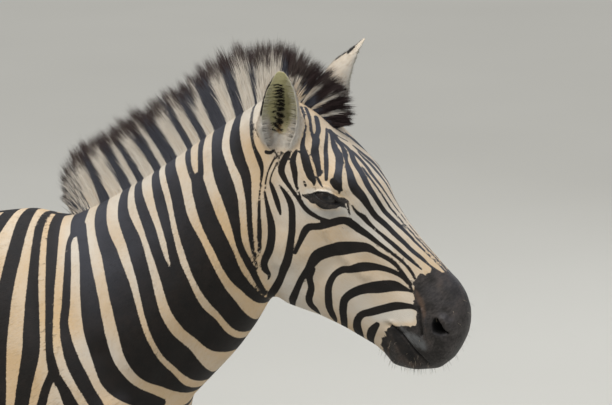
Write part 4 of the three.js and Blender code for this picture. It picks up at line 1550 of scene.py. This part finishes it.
# ---- hair ----
@dataclass
class Locks:
    """Many tapered locks of hair, as arrays with one row for each lock."""

    roots: Array
    ways: Array
    normals: Array
    lengths: Array
    widths: Array
    bends: Array
    unwrap: Array
    marks: dict[str, Array]
    tip_marks: dict[str, Array] = field(default_factory=dict)
    segments: int = 2
    flatness: float = 0.45
    taper: float = 0.7
    laid: float = 0.0  # how far the locks take the skin's shading, so that they lie in it as one coat
    lit: Optional[Array] = None  # the skin's directions for that, where they aren't the locks' own
    seed: int = 1
    PATCH = 0.003  # size of a lock's place on the unwrap

    def build(self, name: str) -> Object:
        """Joins the locks into one mesh, each of them closed.

        Args:
            name: The piece's name.

        Returns:
            The object, with its markings and its unwrap.
        """
        count, steps = len(self.roots), self.segments
        across = unit(np.cross(self.ways, self.normals))
        over = unit(np.cross(across, self.ways))
        rng = np.random.default_rng(self.seed)
        tone = rng.random(count)
        spin = rng.uniform(0, 2 * math.pi / 3, count)
        per_lock = steps * 3 + 1
        points = np.empty((count, per_lock, 3))
        skin = self.normals if self.lit is None else self.lit
        facing = np.repeat(skin[:, None], per_lock, axis=1)
        grown = np.empty((count, per_lock))
        drift = np.empty((count, per_lock))
        for step in range(steps + 1):
            share = step / steps
            centre = self.roots + self.ways * (self.lengths * share)[:, None]
            centre = centre + self.bends * (self.lengths * share**2)[:, None]
            if step == steps:
                points[:, -1] = centre
                grown[:, -1], drift[:, -1] = 1.0, 0.5
                break
            width = self.widths * (1.0 - share) ** self.taper * 0.5
            for corner in range(3):
                angle = spin + corner * 2 * math.pi / 3
                offset = across * (np.cos(angle) * width)[:, None]
                offset = offset + over * (np.sin(angle) * width * self.flatness)[:, None]
                row = step * 3 + corner
                points[:, row] = centre + offset
                facing[:, row] = self.laid * skin + (1 - self.laid) * unit(offset)
                grown[:, row], drift[:, row] = share, corner / 2
        quads = []
        for step in range(steps - 1):
            for corner in range(3):
                low, beside = step * 3 + corner, step * 3 + (corner + 1) % 3
                quads.append([low, low + 3, beside + 3, beside])
        last = (steps - 1) * 3
        tips = [[last + (corner + 1) % 3, last + corner, per_lock - 1] for corner in range(3)] + [[0, 1, 2]]
        pattern = np.array([index for face in quads + tips for index in face])
        sizes = np.array([len(face) for face in quads + tips])
        first = (np.arange(count) * per_lock)[:, None]
        corners = (first + pattern).ravel()
        piece = mesh_object(name, points.reshape(-1, 3), corners, np.tile(sizes, count))
        if self.laid:
            piece.data.normals_split_custom_set_from_vertices(unit(facing.reshape(-1, 3)).tolist())
        for key, values in self.marks.items():
            ends = self.tip_marks.get(key, values)
            paint(piece, key, mixed(values[:, None], ends[:, None], grown).ravel())
        paint(piece, "grown", grown.ravel())
        paint(piece, "tone", np.repeat(tone, per_lock))
        patch = np.stack([drift, grown], -1) * self.PATCH + self.unwrap[:, None]
        layer = piece.data.uv_layers.new(name="OFBake")
        layer.uv.foreach_set("vector", patch.reshape(-1, 2)[corners].astype(np.float32).ravel())
        return piece


def framed(across: Array, along: Array) -> Array:
    """Places on an unwrap, from shares of its width and height, kept off its edges."""
    return np.stack([0.02 + 0.95 * across, 0.02 + 0.95 * np.clip(along, 0, 1)], -1)


class Roots:
    """Random places on the hide, with what the hide knows there."""

    # the hide's marks that the locks take at their roots, the painted sky sheen among them
    MARKS = ("ink", "tan", "grey", "sky_sheen", "straw")

    def __init__(self, hide: Hide, weights: Array, count: int, seed: int) -> None:
        """Picks the places.

        Args:
            hide: The finished hide.
            weights: How densely hair grows at each of its vertices.
            count: Number of places.
            seed: Seed of the random choice.
        """
        rng = np.random.default_rng(seed)
        triangles = hide.triangles
        a, b, c = (hide.points[triangles[:, k]] for k in range(3))
        area = np.linalg.norm(np.cross(b - a, c - a), axis=1)
        chance = area * weights[triangles].mean(1)
        picked = rng.choice(len(triangles), count, p=chance / chance.sum())
        r, s = np.sqrt(rng.random(count)), rng.random(count)
        corner_shares = np.stack([1 - r, r * (1 - s), r * s], -1)
        corners = triangles[picked]
        self.points = np.einsum("ij,ijk->ik", corner_shares, hide.points[corners])
        self.normals = unit(np.einsum("ij,ijk->ik", corner_shares, hide.normals[corners]))
        self.marks = {}
        for key in self.MARKS:
            self.marks[key] = np.einsum("ij,ij->i", corner_shares, hide.marks[key][corners])

    def kept(self, rows: Array) -> "Roots":
        """Only the places of these rows."""
        fewer = copy.copy(self)
        fewer.points, fewer.normals = self.points[rows], self.normals[rows]
        fewer.marks = {key: values[rows] for key, values in self.marks.items()}
        return fewer


@dataclass(frozen=True)
class CoatPatch:
    """Short hair over one part of the body."""

    name: str
    part: str  # the Region field that says where it grows
    count: int
    length: float
    width: float
    rise: float  # how far a hair stands off the skin, as a share of its length


COAT_PATCHES = (
    CoatPatch("coat_head", "head", 44_000, 6.5 * MM, 0.8 * MM, 0.08),
    CoatPatch("coat_neck", "neck", 42_000, 10 * MM, 1.1 * MM, 0.07),
    CoatPatch("coat_trunk", "trunk", 46_000, 13 * MM, 1.6 * MM, 0.07),
    CoatPatch("coat_legs", "legs", 38_000, 9 * MM, 1.3 * MM, 0.08),
)


@dataclass(frozen=True)
class ShortCoat:
    """The short hair that breaks the outline all over the body."""

    patches: Sequence[CoatPatch] = COAT_PATCHES

    def grow(self, hide: Hide, material: Material) -> None:
        """Grows every patch of it."""
        part = Region(hide.points)
        bare = hide.marks["bare"]
        for number, patch in enumerate(self.patches):
            weights = getattr(part, patch.part) * (1 - eased(0.1, 0.4, bare))
            roots = Roots(hide, weights, patch.count, 40 + number)
            piece = self.grown(hide, patch, roots, number)
            worn(piece, material)

    def grown(self, hide: Hide, patch: CoatPatch, roots: Roots, number: int) -> Object:
        """Lays one patch's hairs along the skin."""
        rng = np.random.default_rng(60 + number)
        count = len(roots.points)
        way = Region.way(roots.points) + rng.normal(0, 0.09, (count, 3))
        way = unit(way - roots.normals * np.sum(way * roots.normals, axis=1, keepdims=True))
        way = unit(way + roots.normals * patch.rise)
        size = rng.uniform(0.7, 1.15, count)
        local = HEAD.local(roots.points)
        if patch.part == "head":
            size = size * mixed(1.0, 0.55, eased(0.20, 0.45, local[:, 0]))
        unwrap = self.unwrapped(patch.part, roots.points)
        tips = roots.points + way * (patch.length * size)[:, None]
        marks = hide.markings.over(roots.points, roots.normals)  # sharper than what the vertices hold
        marks = {key: marks[key] for key in Roots.MARKS}
        tip_marks = {"ink": hide.markings.over(tips, roots.normals)["ink"]}
        return Locks(
            roots.points - roots.normals * 0.2 * MM, way, roots.normals, patch.length * size,
            patch.width * size, -roots.normals * (patch.rise * 0.35), unwrap, marks, tip_marks, segments=1,
            flatness=0.14, laid=0.9, seed=80 + number,
        ).build(patch.name)

    @staticmethod
    def unwrapped(part: str, points: Array) -> Array:
        """Each root's place on an unwrap round the part it grows on, from 0 to 1 both ways."""
        x, y, z = points.T
        if part == "head":
            local = HEAD.local(points)
            turn = HEAD.turn(local)
            along = (local[:, 0] + 0.08) / 0.70
        elif part == "legs":
            quarter = 2 * (x > -0.25) + (y > 0)
            centre_x = np.where(x > -0.25, 0.21, -0.86)
            around = np.arctan2(np.abs(y) - 0.125, x - centre_x) / (2 * math.pi) + 0.5
            places = framed(around, z / 0.85)
            places[:, 0] = (quarter + 0.02 + 0.94 * around) / 4
            return places
        elif part == "neck":
            turn = np.arctan2(y, (z - 1.2) * 0.6 - (x - 0.43) * 0.8)
            along = ((x - 0.2) * 0.6 + (z - 0.85) * 0.8) / 0.85
        else:
            turn = np.arctan2(y, z - 0.97)
            along = (x + 0.95) / 1.42
        return framed(turn / (2 * math.pi) + 0.5, along)


@dataclass(frozen=True)
class Mane:
    """The upright mane, from the withers over the crest to the forelock."""

    # X of the root, then X and Z of the tip, in millimetres
    HAIRS = ((195, 156, 1322), (203, 153, 1354), (221, 169, 1399), (251, 193, 1426), (285, 214, 1437),
             (319, 249, 1459), (353, 279, 1477), (391, 313, 1499), (429, 361, 1533), (466, 401, 1556),
             (499, 442, 1586), (532, 486, 1621), (565, 535, 1640), (593, 589, 1651), (623, 637, 1646),
             (647, 689, 1620), (667, 729, 1592), (685, 753, 1555), (701, 761, 1522), (715, 757, 1499))
    # X of the root, then the share of a hair's length at which its dark tip begins
    TIPS = ((190, 0.72), (230, 0.62), (560, 0.64), (610, 0.62), (640, 0.42), (690, 0.12), (720, 0.05))
    # in the dark forelock: X of the root, half width, and where the tip begins, for each pale streak
    STREAKS = ((638, 10, 0.38), (664, 3, 0.5), (682, 2.5, 0.75), (700, 2, 0.75))
    PIECES = ("mane_rear", "mane_middle", "mane_front")
    half: float = 16 * MM  # half the width of the strip it grows on
    rear: float = 0.185  # X of that strip's ends, and its lowest Z
    front: float = 0.727
    foot: float = 1.28
    forelock: float = 0.612  # X from which the hair is dark
    hairs: int = 33_000
    cell: float = 7 * MM  # how far apart the clumps of hair stand

    def grow(self, hide: Hide, material: Material) -> None:
        """Grows the mane.

        Args:
            hide: The finished hide.
            material: The mane's material.
        """
        x, y, z = hide.points.T
        strip = (np.abs(y) < self.half) & (hide.normals[:, 2] > 0.15)
        strip &= (x > self.rear) & (x < self.front) & (z > self.foot)
        strip &= np.max([ear.holds(hide.points) for ear in EARS], axis=0) < 0.3
        density = strip * (1.0 - 0.5 * (np.abs(y) / self.half) ** 2)
        roots = Roots(hide, density, self.hairs, 7)
        order = np.argsort(roots.points[:, 0])
        for name, rows in zip(self.PIECES, np.array_split(order, len(self.PIECES))):
            piece = self.grown(name, roots.kept(rows))
            worn(piece, material)
            if name == self.PIECES[0]:
                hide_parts("mane")

    def grown(self, name: str, roots: Roots) -> Object:
        """Grows one length of the mane."""
        rng = np.random.default_rng(len(name))
        count = len(roots.points)
        x, y, _ = roots.points.T
        stations, tip_x, tip_z = np.array(self.HAIRS, float).T * MM
        off = np.abs(y) / self.half
        spot = np.stack([x, y, 0 * x], -1)
        cells = np.stack([x + 2.5 * MM * wobble(spot, 0.03, 23), y], -1) / self.cell
        cells = np.floor(cells + rng.normal(0, 0.16, (count, 2)))
        _, clump = np.unique(cells, axis=0, return_inverse=True)
        clump = clump.ravel()
        each = np.random.default_rng(26).normal(0, 1.0, (clump.max() + 1, 4))[clump]
        pull = rng.uniform(0.0, 0.8, count)
        guide_x = mixed(x, (cells[:, 0] + 0.5) * self.cell, pull)
        guide_y = mixed(y, (cells[:, 1] + 0.5) * self.cell, pull)
        tip = [np.interp(guide_x, stations, tip_x), 1.3 * guide_y, np.interp(guide_x, stations, tip_z)]
        tip = np.stack(tip, -1)
        tip[:, :2] += each[:, :2] * np.array([3.5, 5.0]) * MM + rng.normal(0, 2.0 * MM, (count, 2))
        chord = tip - roots.points
        reach = (1.0 + 0.035 * each[:, 2]) * (1.0 - 0.85 * off**3)
        short = rng.random(count) < 0.35
        reach = reach * np.where(short, rng.uniform(0.5, 0.92, count), rng.uniform(0.92, 1.06, count))
        length = np.linalg.norm(chord, axis=1)
        way = chord / length[:, None]
        lean = np.arctan2(way[:, 0], way[:, 2])
        bow = (-0.26 * np.sin(lean))[:, None] * np.stack([np.cos(lean), 0 * lean, -np.sin(lean)], -1)
        bends = rng.normal(0, 0.03, (count, 3)) - bow
        marks = dict(roots.marks)
        marks["tan"] = marks["tan"] * mixed(0.15, 0.8, eased(0.5, 1.0, off))
        tip_x, tip_from = np.array(self.TIPS, float).T
        marks["tip_from"] = np.interp(x, tip_x * MM, tip_from) + 0.06 * each[:, 3]
        marks["tip_from"] += rng.normal(0, 0.06, count)
        fore = eased(self.forelock - 6 * MM, self.forelock + 6 * MM, x + 2 * MM * each[:, 2])
        fore = fore * (1 - eased(0.75, 1.0, off) * (x < 0.66))
        marks["ink"] = mixed(marks["ink"], 4 * MM + 0 * x, fore)
        for middle, half, begins in self.STREAKS:
            inside = eased(1.5 * MM, -1.5 * MM, np.abs(x - middle * MM) - half * MM)
            inside = inside * (rng.random(count) < 0.85)
            marks["ink"] = mixed(marks["ink"], -4 * MM + 0 * x, inside)
            marks["tip_from"] = mixed(marks["tip_from"], begins + 0.05 * each[:, 3], inside)
        rear = (x < 0.222) & (rng.random(count) < 0.6)
        marks["ink"] = np.where(rear, -marks["ink"], marks["ink"])
        marks["tip_from"] = marks["tip_from"] / np.maximum(reach, 0.3)
        unwrap = np.stack([0.02 + 0.95 * (x - 0.15) / 0.6, 0.5 + 0.45 * y / (self.half * 1.1)], -1)
        return Locks(
            roots.points - roots.normals * 1.5 * MM, way + bow, np.tile(SIDEWAYS, (count, 1)),
            length * reach, rng.uniform(0.9, 1.6, count) * MM, bends, unwrap, marks, segments=3,
            flatness=0.7, taper=0.6, laid=0.5, lit=roots.normals, seed=30,
        ).build(name)


@dataclass(frozen=True)
class TailHair:
    """The long dark brush that hangs from the dock."""

    locks: int = 3600
    top: float = 0.93  # of the roots: over this none grow, and under the bottom they are densest
    bottom: float = 0.80

    def grow(self, hide: Hide, material: Material) -> None:
        """Grows the brush in its CAD solid."""
        low, high = box_of("tail_brush")
        rng = np.random.default_rng(9)
        part = Region(hide.points)
        z = hide.points[:, 2]
        weights = (part.tail > 0.5) * (z < self.top) * (1.5 - eased(self.bottom, self.top, z))
        roots = Roots(hide, weights, self.locks, 11)
        count = len(roots.points)
        middle = np.array([(low[0] + high[0]) / 2, 0.0, 0.0])
        target = middle + rng.normal(0, 1.0, (count, 3)) * np.array([0.012, 0.010, 0.0])
        fall = rng.uniform(0.0, 1.0, count) ** 0.6
        target[:, 2] = low[2] + (1 - fall) * 0.22 + 0.004
        way = target - roots.points
        length = np.linalg.norm(way, axis=1)
        way = unit(way)
        out = roots.points - middle
        out[:, 2] = 0.0
        bulge = unit(out) * 0.075
        marks = {"ink": np.full(count, 0.02), "tan": np.zeros(count)}
        turn = np.arctan2(out[:, 1], out[:, 0]) / (2 * math.pi) + 0.5
        unwrap = np.stack([0.02 + 0.95 * turn, 0.02 + 0.9 * (roots.points[:, 2] - 0.70) / 0.3], -1)
        start = unit(way + bulge)
        piece = Locks(
            roots.points, start, np.tile(SIDEWAYS, (count, 1)), length,
            rng.uniform(1.2, 2.6, count) * MM, way - start, unwrap, marks, segments=5, flatness=0.6, seed=31,
        ).build("tail_locks")
        worn(piece, material)
        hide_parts("tail_brush")


@dataclass(frozen=True)
class EarHair:
    """Short hair on the backs and rims of the ears, and the long hair that fills their mouths."""

    hairs: int = 8_500  # on each ear

    def grow(self, hide: Hide, material: Material) -> None:
        """Grows the hair of both ears."""
        for ear in EARS:
            worn(self.grown(hide, ear), material)

    def grown(self, hide: Hide, ear: Ear) -> Object:
        """Grows one ear's hair."""
        _, axis, open_way, across_way = ear.axes()
        outside, turn, share = ear.sides(hide.points, hide.normals)
        rim = eased(0.72, 0.95, ear.to_rim(turn, share))
        weights = ear.holds(hide.points) * mixed(0.8 + 0.5 * rim, 0.55 + 0.8 * rim, outside)
        roots = Roots(hide, weights, self.hairs, 13)
        rng = np.random.default_rng(14)
        count = len(roots.points)
        outside, turn, share = ear.sides(roots.points, roots.normals)
        across = ear.local(roots.points)[:, 2]
        inner = outside < 0.5
        rim = eased(0.72, 0.95, ear.to_rim(turn, share))
        along = unit(axis)[None, :]
        inward = -np.sign(across)[:, None] * across_way + open_way * 0.22 + along * 0.32
        edge = along + open_way * 0.35 + 0.1 * roots.normals
        way = mixed(along + 0.14 * roots.normals, edge, (rim * ~inner)[:, None])
        way = np.where(inner[:, None], inward, way)
        way = unit(way + rng.normal(0, 0.10, (count, 3)))
        length = np.where(inner, mixed(7.0, 17.0, rim), mixed(7.0, 6.0, rim)) * MM
        length = length * rng.uniform(0.6, 1.1, count)
        length = length * (1 - 0.55 * eased(0.7, 1.0, share))
        marks = dict(roots.marks)
        # inner hairs take the streaks of dark hair and painted shade; one in twenty is dark all through
        dark_streaks_and_shade = Markings.dark_streaks_and_shade(share * np.linalg.norm(axis), across, share)
        dark_streaks_and_shade = np.where(rng.random(count) < 0.05, 4 * MM, dark_streaks_and_shade)
        marks["ink"] = np.where(inner, dark_streaks_and_shade, marks["ink"])
        marks["straw"] = marks["straw"] * np.where(inner, 1 - 0.15 * rim, 0.0)
        unwrap = np.stack([0.5 + across / 0.14, 0.05 + 0.85 * np.clip(share, 0, 1)], -1)
        unwrap[:, 0] = unwrap[:, 0] * 0.45 + np.where(inner, 0.5, 0.02)
        return Locks(
            roots.points - roots.normals * 0.3 * MM, way, roots.normals, length,
            rng.uniform(0.6, 1.1, count) * MM, rng.normal(0, 0.05, (count, 3)), unwrap, marks, segments=2,
            flatness=0.4, laid=0.6, seed=33,
        ).build(ear.node.replace("ear", "ear_hair"))


@dataclass(frozen=True)
class FineHair:
    """Lashes over the eyes and whiskers on the muzzle and chin."""

    lash_count: int = 56  # over each eye
    whisker_count: int = 240

    def grow(self, hide: Hide, material: Material) -> None:
        """Grows them on both sides."""
        rng = np.random.default_rng(15)
        rows = [self.lashes(side, rng) for side in SIDES] + [self.whiskers(hide, rng)]
        roots, ways, lengths, widths, tans = (np.concatenate(part) for part in zip(*rows))
        count = len(roots)
        unwrap = np.stack([0.02 + 0.9 * np.arange(count) / count, np.full(count, 0.5)], -1)
        marks = {"ink": np.where(tans > 0.5, -0.01, 0.02), "tan": tans, "grey": 0.6 * (tans > 0.5)}
        bends = np.tile([0.05, 0.0, -0.35], (count, 1))
        piece = Locks(
            roots, ways, np.tile([0.3, 0.2, 0.9], (count, 1)), lengths, widths, bends, unwrap, marks,
            segments=3, flatness=0.9, seed=34,
        ).build("lashes_and_whiskers")
        worn(piece, material)

    def lashes(self, side: int, rng: np.random.Generator) -> tuple[Array, ...]:
        """The upper lashes of one eye."""
        eye = EyeSocket(side)
        count = self.lash_count
        u = np.linspace(-0.45, 0.72, count) + rng.normal(0, 0.01, count)
        v = eye.middle(u) + eye.UPPER * np.clip(1 - (u / eye.HALF) ** 2, 0, 1) ** 0.75 + 0.03
        w = np.sqrt(np.clip(1 - u**2 - v**2, 0.02, 1))
        way = u[:, None] * eye.slit + v[:, None] * eye.lift + w[:, None] * eye.outward
        roots = eye.centre + unit(way) * (HEAD.eye_radius + 2.6 * MM)
        ways = unit(eye.outward * 1.0 + eye.slit * (u[:, None] * 0.4 + 0.15) - eye.lift * 0.12
                    + rng.normal(0, 0.08, (count, 3)))
        lengths = rng.uniform(9, 15, count) * MM
        return roots, ways, lengths, np.full(count, 0.5 * MM), np.zeros(count)

    def whiskers(self, hide: Hide, rng: np.random.Generator) -> tuple[Array, ...]:
        """Stiff single hairs round the lips."""
        local = HEAD.local(hide.points)
        part = Region(hide.points)
        low = 1.0 - eased(-120 * MM, -85 * MM, local[:, 2])
        weights = (part.head > 0.5) * eased(0.46, 0.50, local[:, 0]) * (0.15 + low)
        roots = Roots(hide, weights, self.whisker_count, 16)
        count = len(roots.points)
        ways = unit(roots.normals + HEAD.turned(np.array([0.3, 0.0, -0.3])) + rng.normal(0, 0.2, (count, 3)))
        lengths = rng.uniform(4, 13, count) * MM
        return roots.points, ways, lengths, np.full(count, 0.4 * MM), (rng.random(count) < 0.35) * 0.6


@dataclass(frozen=True)
class Eyes:
    """Two glossy eyeballs, each with a long level pupil."""

    inset: float = 0.4 * MM  # of the ball behind its solid
    cornea: float = 1.0 * MM  # how far the front of the eye stands out

    def make(self, material: Material) -> None:
        """Makes both eyeballs."""
        for side, name in zip(SIDES, ("right", "left")):
            eye = EyeSocket(side)
            bpy.ops.object.select_all(action="DESELECT")
            bpy.ops.mesh.primitive_uv_sphere_add(
                segments=64, ring_count=40, radius=HEAD.eye_radius - self.inset, location=eye.centre.tolist()
            )
            ball = bpy.context.active_object
            ball.name = f"eyeball_{name}"
            ball.data.name = ball.name
            only(ball)
            bpy.ops.object.transform_apply(location=True, rotation=True, scale=True)
            points = points_of(ball.data)
            _, look, u, v = eye.polar(points)
            cornea = self.cornea * eased(0.68, 0.84, look)
            points = points + eye.outward * (cornea * look)[:, None]
            set_points(ball.data, points)
            ball.data.shade_smooth()
            paint(ball, "look", look)
            paint(ball, "pupil", 1.0 - eased(0.9, 1.1, np.hypot(u / 0.30, (v + 0.02) / 0.15)) * (look > 0))
            angle = np.arctan2(v, u)
            paint(ball, "fibre", np.stack([np.cos(angle) * 3, np.sin(angle) * 3, look], -1))
            worn(ball, material)
            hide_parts(f"eye_{name}")


@dataclass(frozen=True)
class Hooves:
    """Four small upright hooves, rounded from their solids and ringed by growth."""

    NAMES = tuple(f"{end}_{side}_hoof" for end in ("fore", "hind") for side in ("right", "left"))
    ring_step: float = 6.5 * MM
    ring_depth: float = 0.5 * MM
    voxel: float = 2.2 * MM
    coronet: float = 6 * MM  # width of the swelling under the hair, at the top of the wall
    coronet_depth: float = 1.5 * MM

    def make(self, material: Material) -> None:
        """Makes every hoof."""
        for name in self.NAMES:
            piece = self.shaped(name)
            worn(piece, material)
            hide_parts(name)

    def shaped(self, name: str) -> Object:
        """One hoof, smooth round its wall and flat on its sole."""
        points, faces = merged_copy(name)
        piece = mesh_object(name.replace("_hoof", "_horn"), points, faces.ravel(), np.full(len(faces), 3))
        low, high = box_of(name)
        add_skin(piece, self.voxel)
        smooth = piece.modifiers.new("round", "SMOOTH")
        smooth.factor = 0.6
        smooth.iterations = 10
        apply_all(piece)
        co = points_of(piece.data)
        normals = normals_of(co, triangles_of(piece.data))
        wall = eased(0.3, 0.7, np.hypot(normals[:, 0], normals[:, 1]))
        slope = co[:, 2] + 0.12 * (co[:, 0] - (low[0] + high[0]) / 2)
        ring = self.ring_depth * np.sin(2 * math.pi * slope / self.ring_step) * wall
        swell = self.coronet_depth * hump(slope - high[2] + self.coronet, self.coronet) * wall
        co = co + normals * (ring + swell)[:, None]
        co[:, 2] = np.where(co[:, 2] < low[2] + 2.5 * MM, np.maximum(low[2], co[:, 2] - 1.2 * MM), co[:, 2])
        co[:, 2] = np.maximum(co[:, 2], low[2])
        set_points(piece.data, co)
        piece.data.shade_smooth()
        return piece


# ---- studio ----
@dataclass(frozen=True)
class Studio:
    """A pale floor, soft lights and the camera."""

    azimuth: float = 20.0
    elevation: float = 12.0
    distance: float = 5.0
    seen_width: float = 1.1444  # what the camera sees from side to side, at the target
    target: Place = (0.6874, -0.060, 1.3556)
    sensor: float = 36.0

    def build(self) -> None:
        """Makes everything round the animal."""
        self.floor()
        self.lights()
        self.camera()

    def floor(self) -> None:
        """A wide matt floor."""
        bpy.ops.object.select_all(action="DESELECT")
        bpy.ops.mesh.primitive_plane_add(size=90.0, location=(0, 0, CAD_BOX[0][2] - 0.5 * MM))
        floor = bpy.context.active_object
        floor.name = "studio_floor"
        finish = Finish("pale_floor", Roughness=0.9, Specular_IOR_Level=0.1)
        cloud = finish.noise(finish.place(), 0.6, 2.0)
        finish.feed(Base_Color=finish.blend(cloud, rgb(180, 180, 176), rgb(188, 188, 184)))
        floor.data.materials.append(finish.material)
        world = bpy.data.worlds.new("studio_air")
        bpy.context.scene.world = world
        world.use_nodes = True
        background = world.node_tree.nodes["Background"]
        background.inputs["Color"].default_value = rgb(232, 236, 242)
        background.inputs["Strength"].default_value = 0.36

    def lights(self) -> None:
        """A soft key from the upper left front, a fill from the right, and a soft top light."""
        self.area("fill", (4.6, -2.4, 2.6), 3.2, 50.0, (0.94, 0.97, 1.0))
        self.area("top", (0.4, 0.6, 5.2), 4.0, 110.0, (1.0, 0.98, 0.95))
        self.area("back", (1.5, 5.0, 3.2), 3.0, 50.0, (0.95, 0.97, 1.0))
        light = bpy.data.lights.new("key", "SUN")
        light.angle, light.energy, light.color = math.radians(24.0), 2.4, (1.0, 0.96, 0.89)
        lamp = bpy.data.objects.new("key", light)
        lamp.rotation_euler = Vector((2.2, 2.7, -5.2)).to_track_quat("-Z", "Y").to_euler()
        bpy.context.scene.collection.objects.link(lamp)

    def area(self, name: str, place: Place, size: float, power: float, colour: Place) -> None:
        """One square soft light aimed at the animal's shoulder."""
        light = bpy.data.lights.new(name, "AREA")
        light.size, light.energy, light.color = size, power, colour
        lamp = bpy.data.objects.new(name, light)
        lamp.location = place
        lamp.rotation_euler = (Vector((0.3, 0, 1.1)) - Vector(place)).to_track_quat("-Z", "Y").to_euler()
        bpy.context.scene.collection.objects.link(lamp)

    def camera(self) -> None:
        """The camera, looking a little down on head and neck."""
        azimuth, elevation = math.radians(self.azimuth), math.radians(self.elevation)
        back = Vector((math.sin(azimuth) * math.cos(elevation), -math.cos(azimuth) * math.cos(elevation),
                       math.sin(elevation)))
        data = bpy.data.cameras.new("camera")
        data.sensor_width = self.sensor
        data.lens = self.sensor * self.distance / self.seen_width
        data.clip_end = 200.0
        camera = bpy.data.objects.new("camera", data)
        camera.location = Vector(self.target) + back * self.distance
        camera.rotation_euler = (-back).to_track_quat("-Z", "Y").to_euler()
        bpy.context.scene.collection.objects.link(camera)
        bpy.context.scene.camera = camera
        bpy.context.scene.view_settings.view_transform = "Standard"


def main() -> None:
    """Builds the zebra and its studio."""
    logging.basicConfig(level=logging.INFO, format="%(relativeCreated)7d ms %(message)s")
    Studio().build()
    hide = Hide()
    LOG.info("hide shaped")
    markings = Markings(hide.tree)
    hide.dress(markings, HideFinish().make())
    LOG.info("hide painted")
    Eyes().make(EyeFinish().make())
    Hooves().make(HornFinish().make())
    short = LockFinish("coat_hair").make()
    Mane().grow(hide, LockFinish("mane_hair", tipped=True).make())
    TailHair().grow(hide, LockFinish("tail_hair").make())
    EarHair().grow(hide, short)
    ShortCoat().grow(hide, short)
    FineHair().grow(hide, short)


if __name__ == "__main__":
    main()
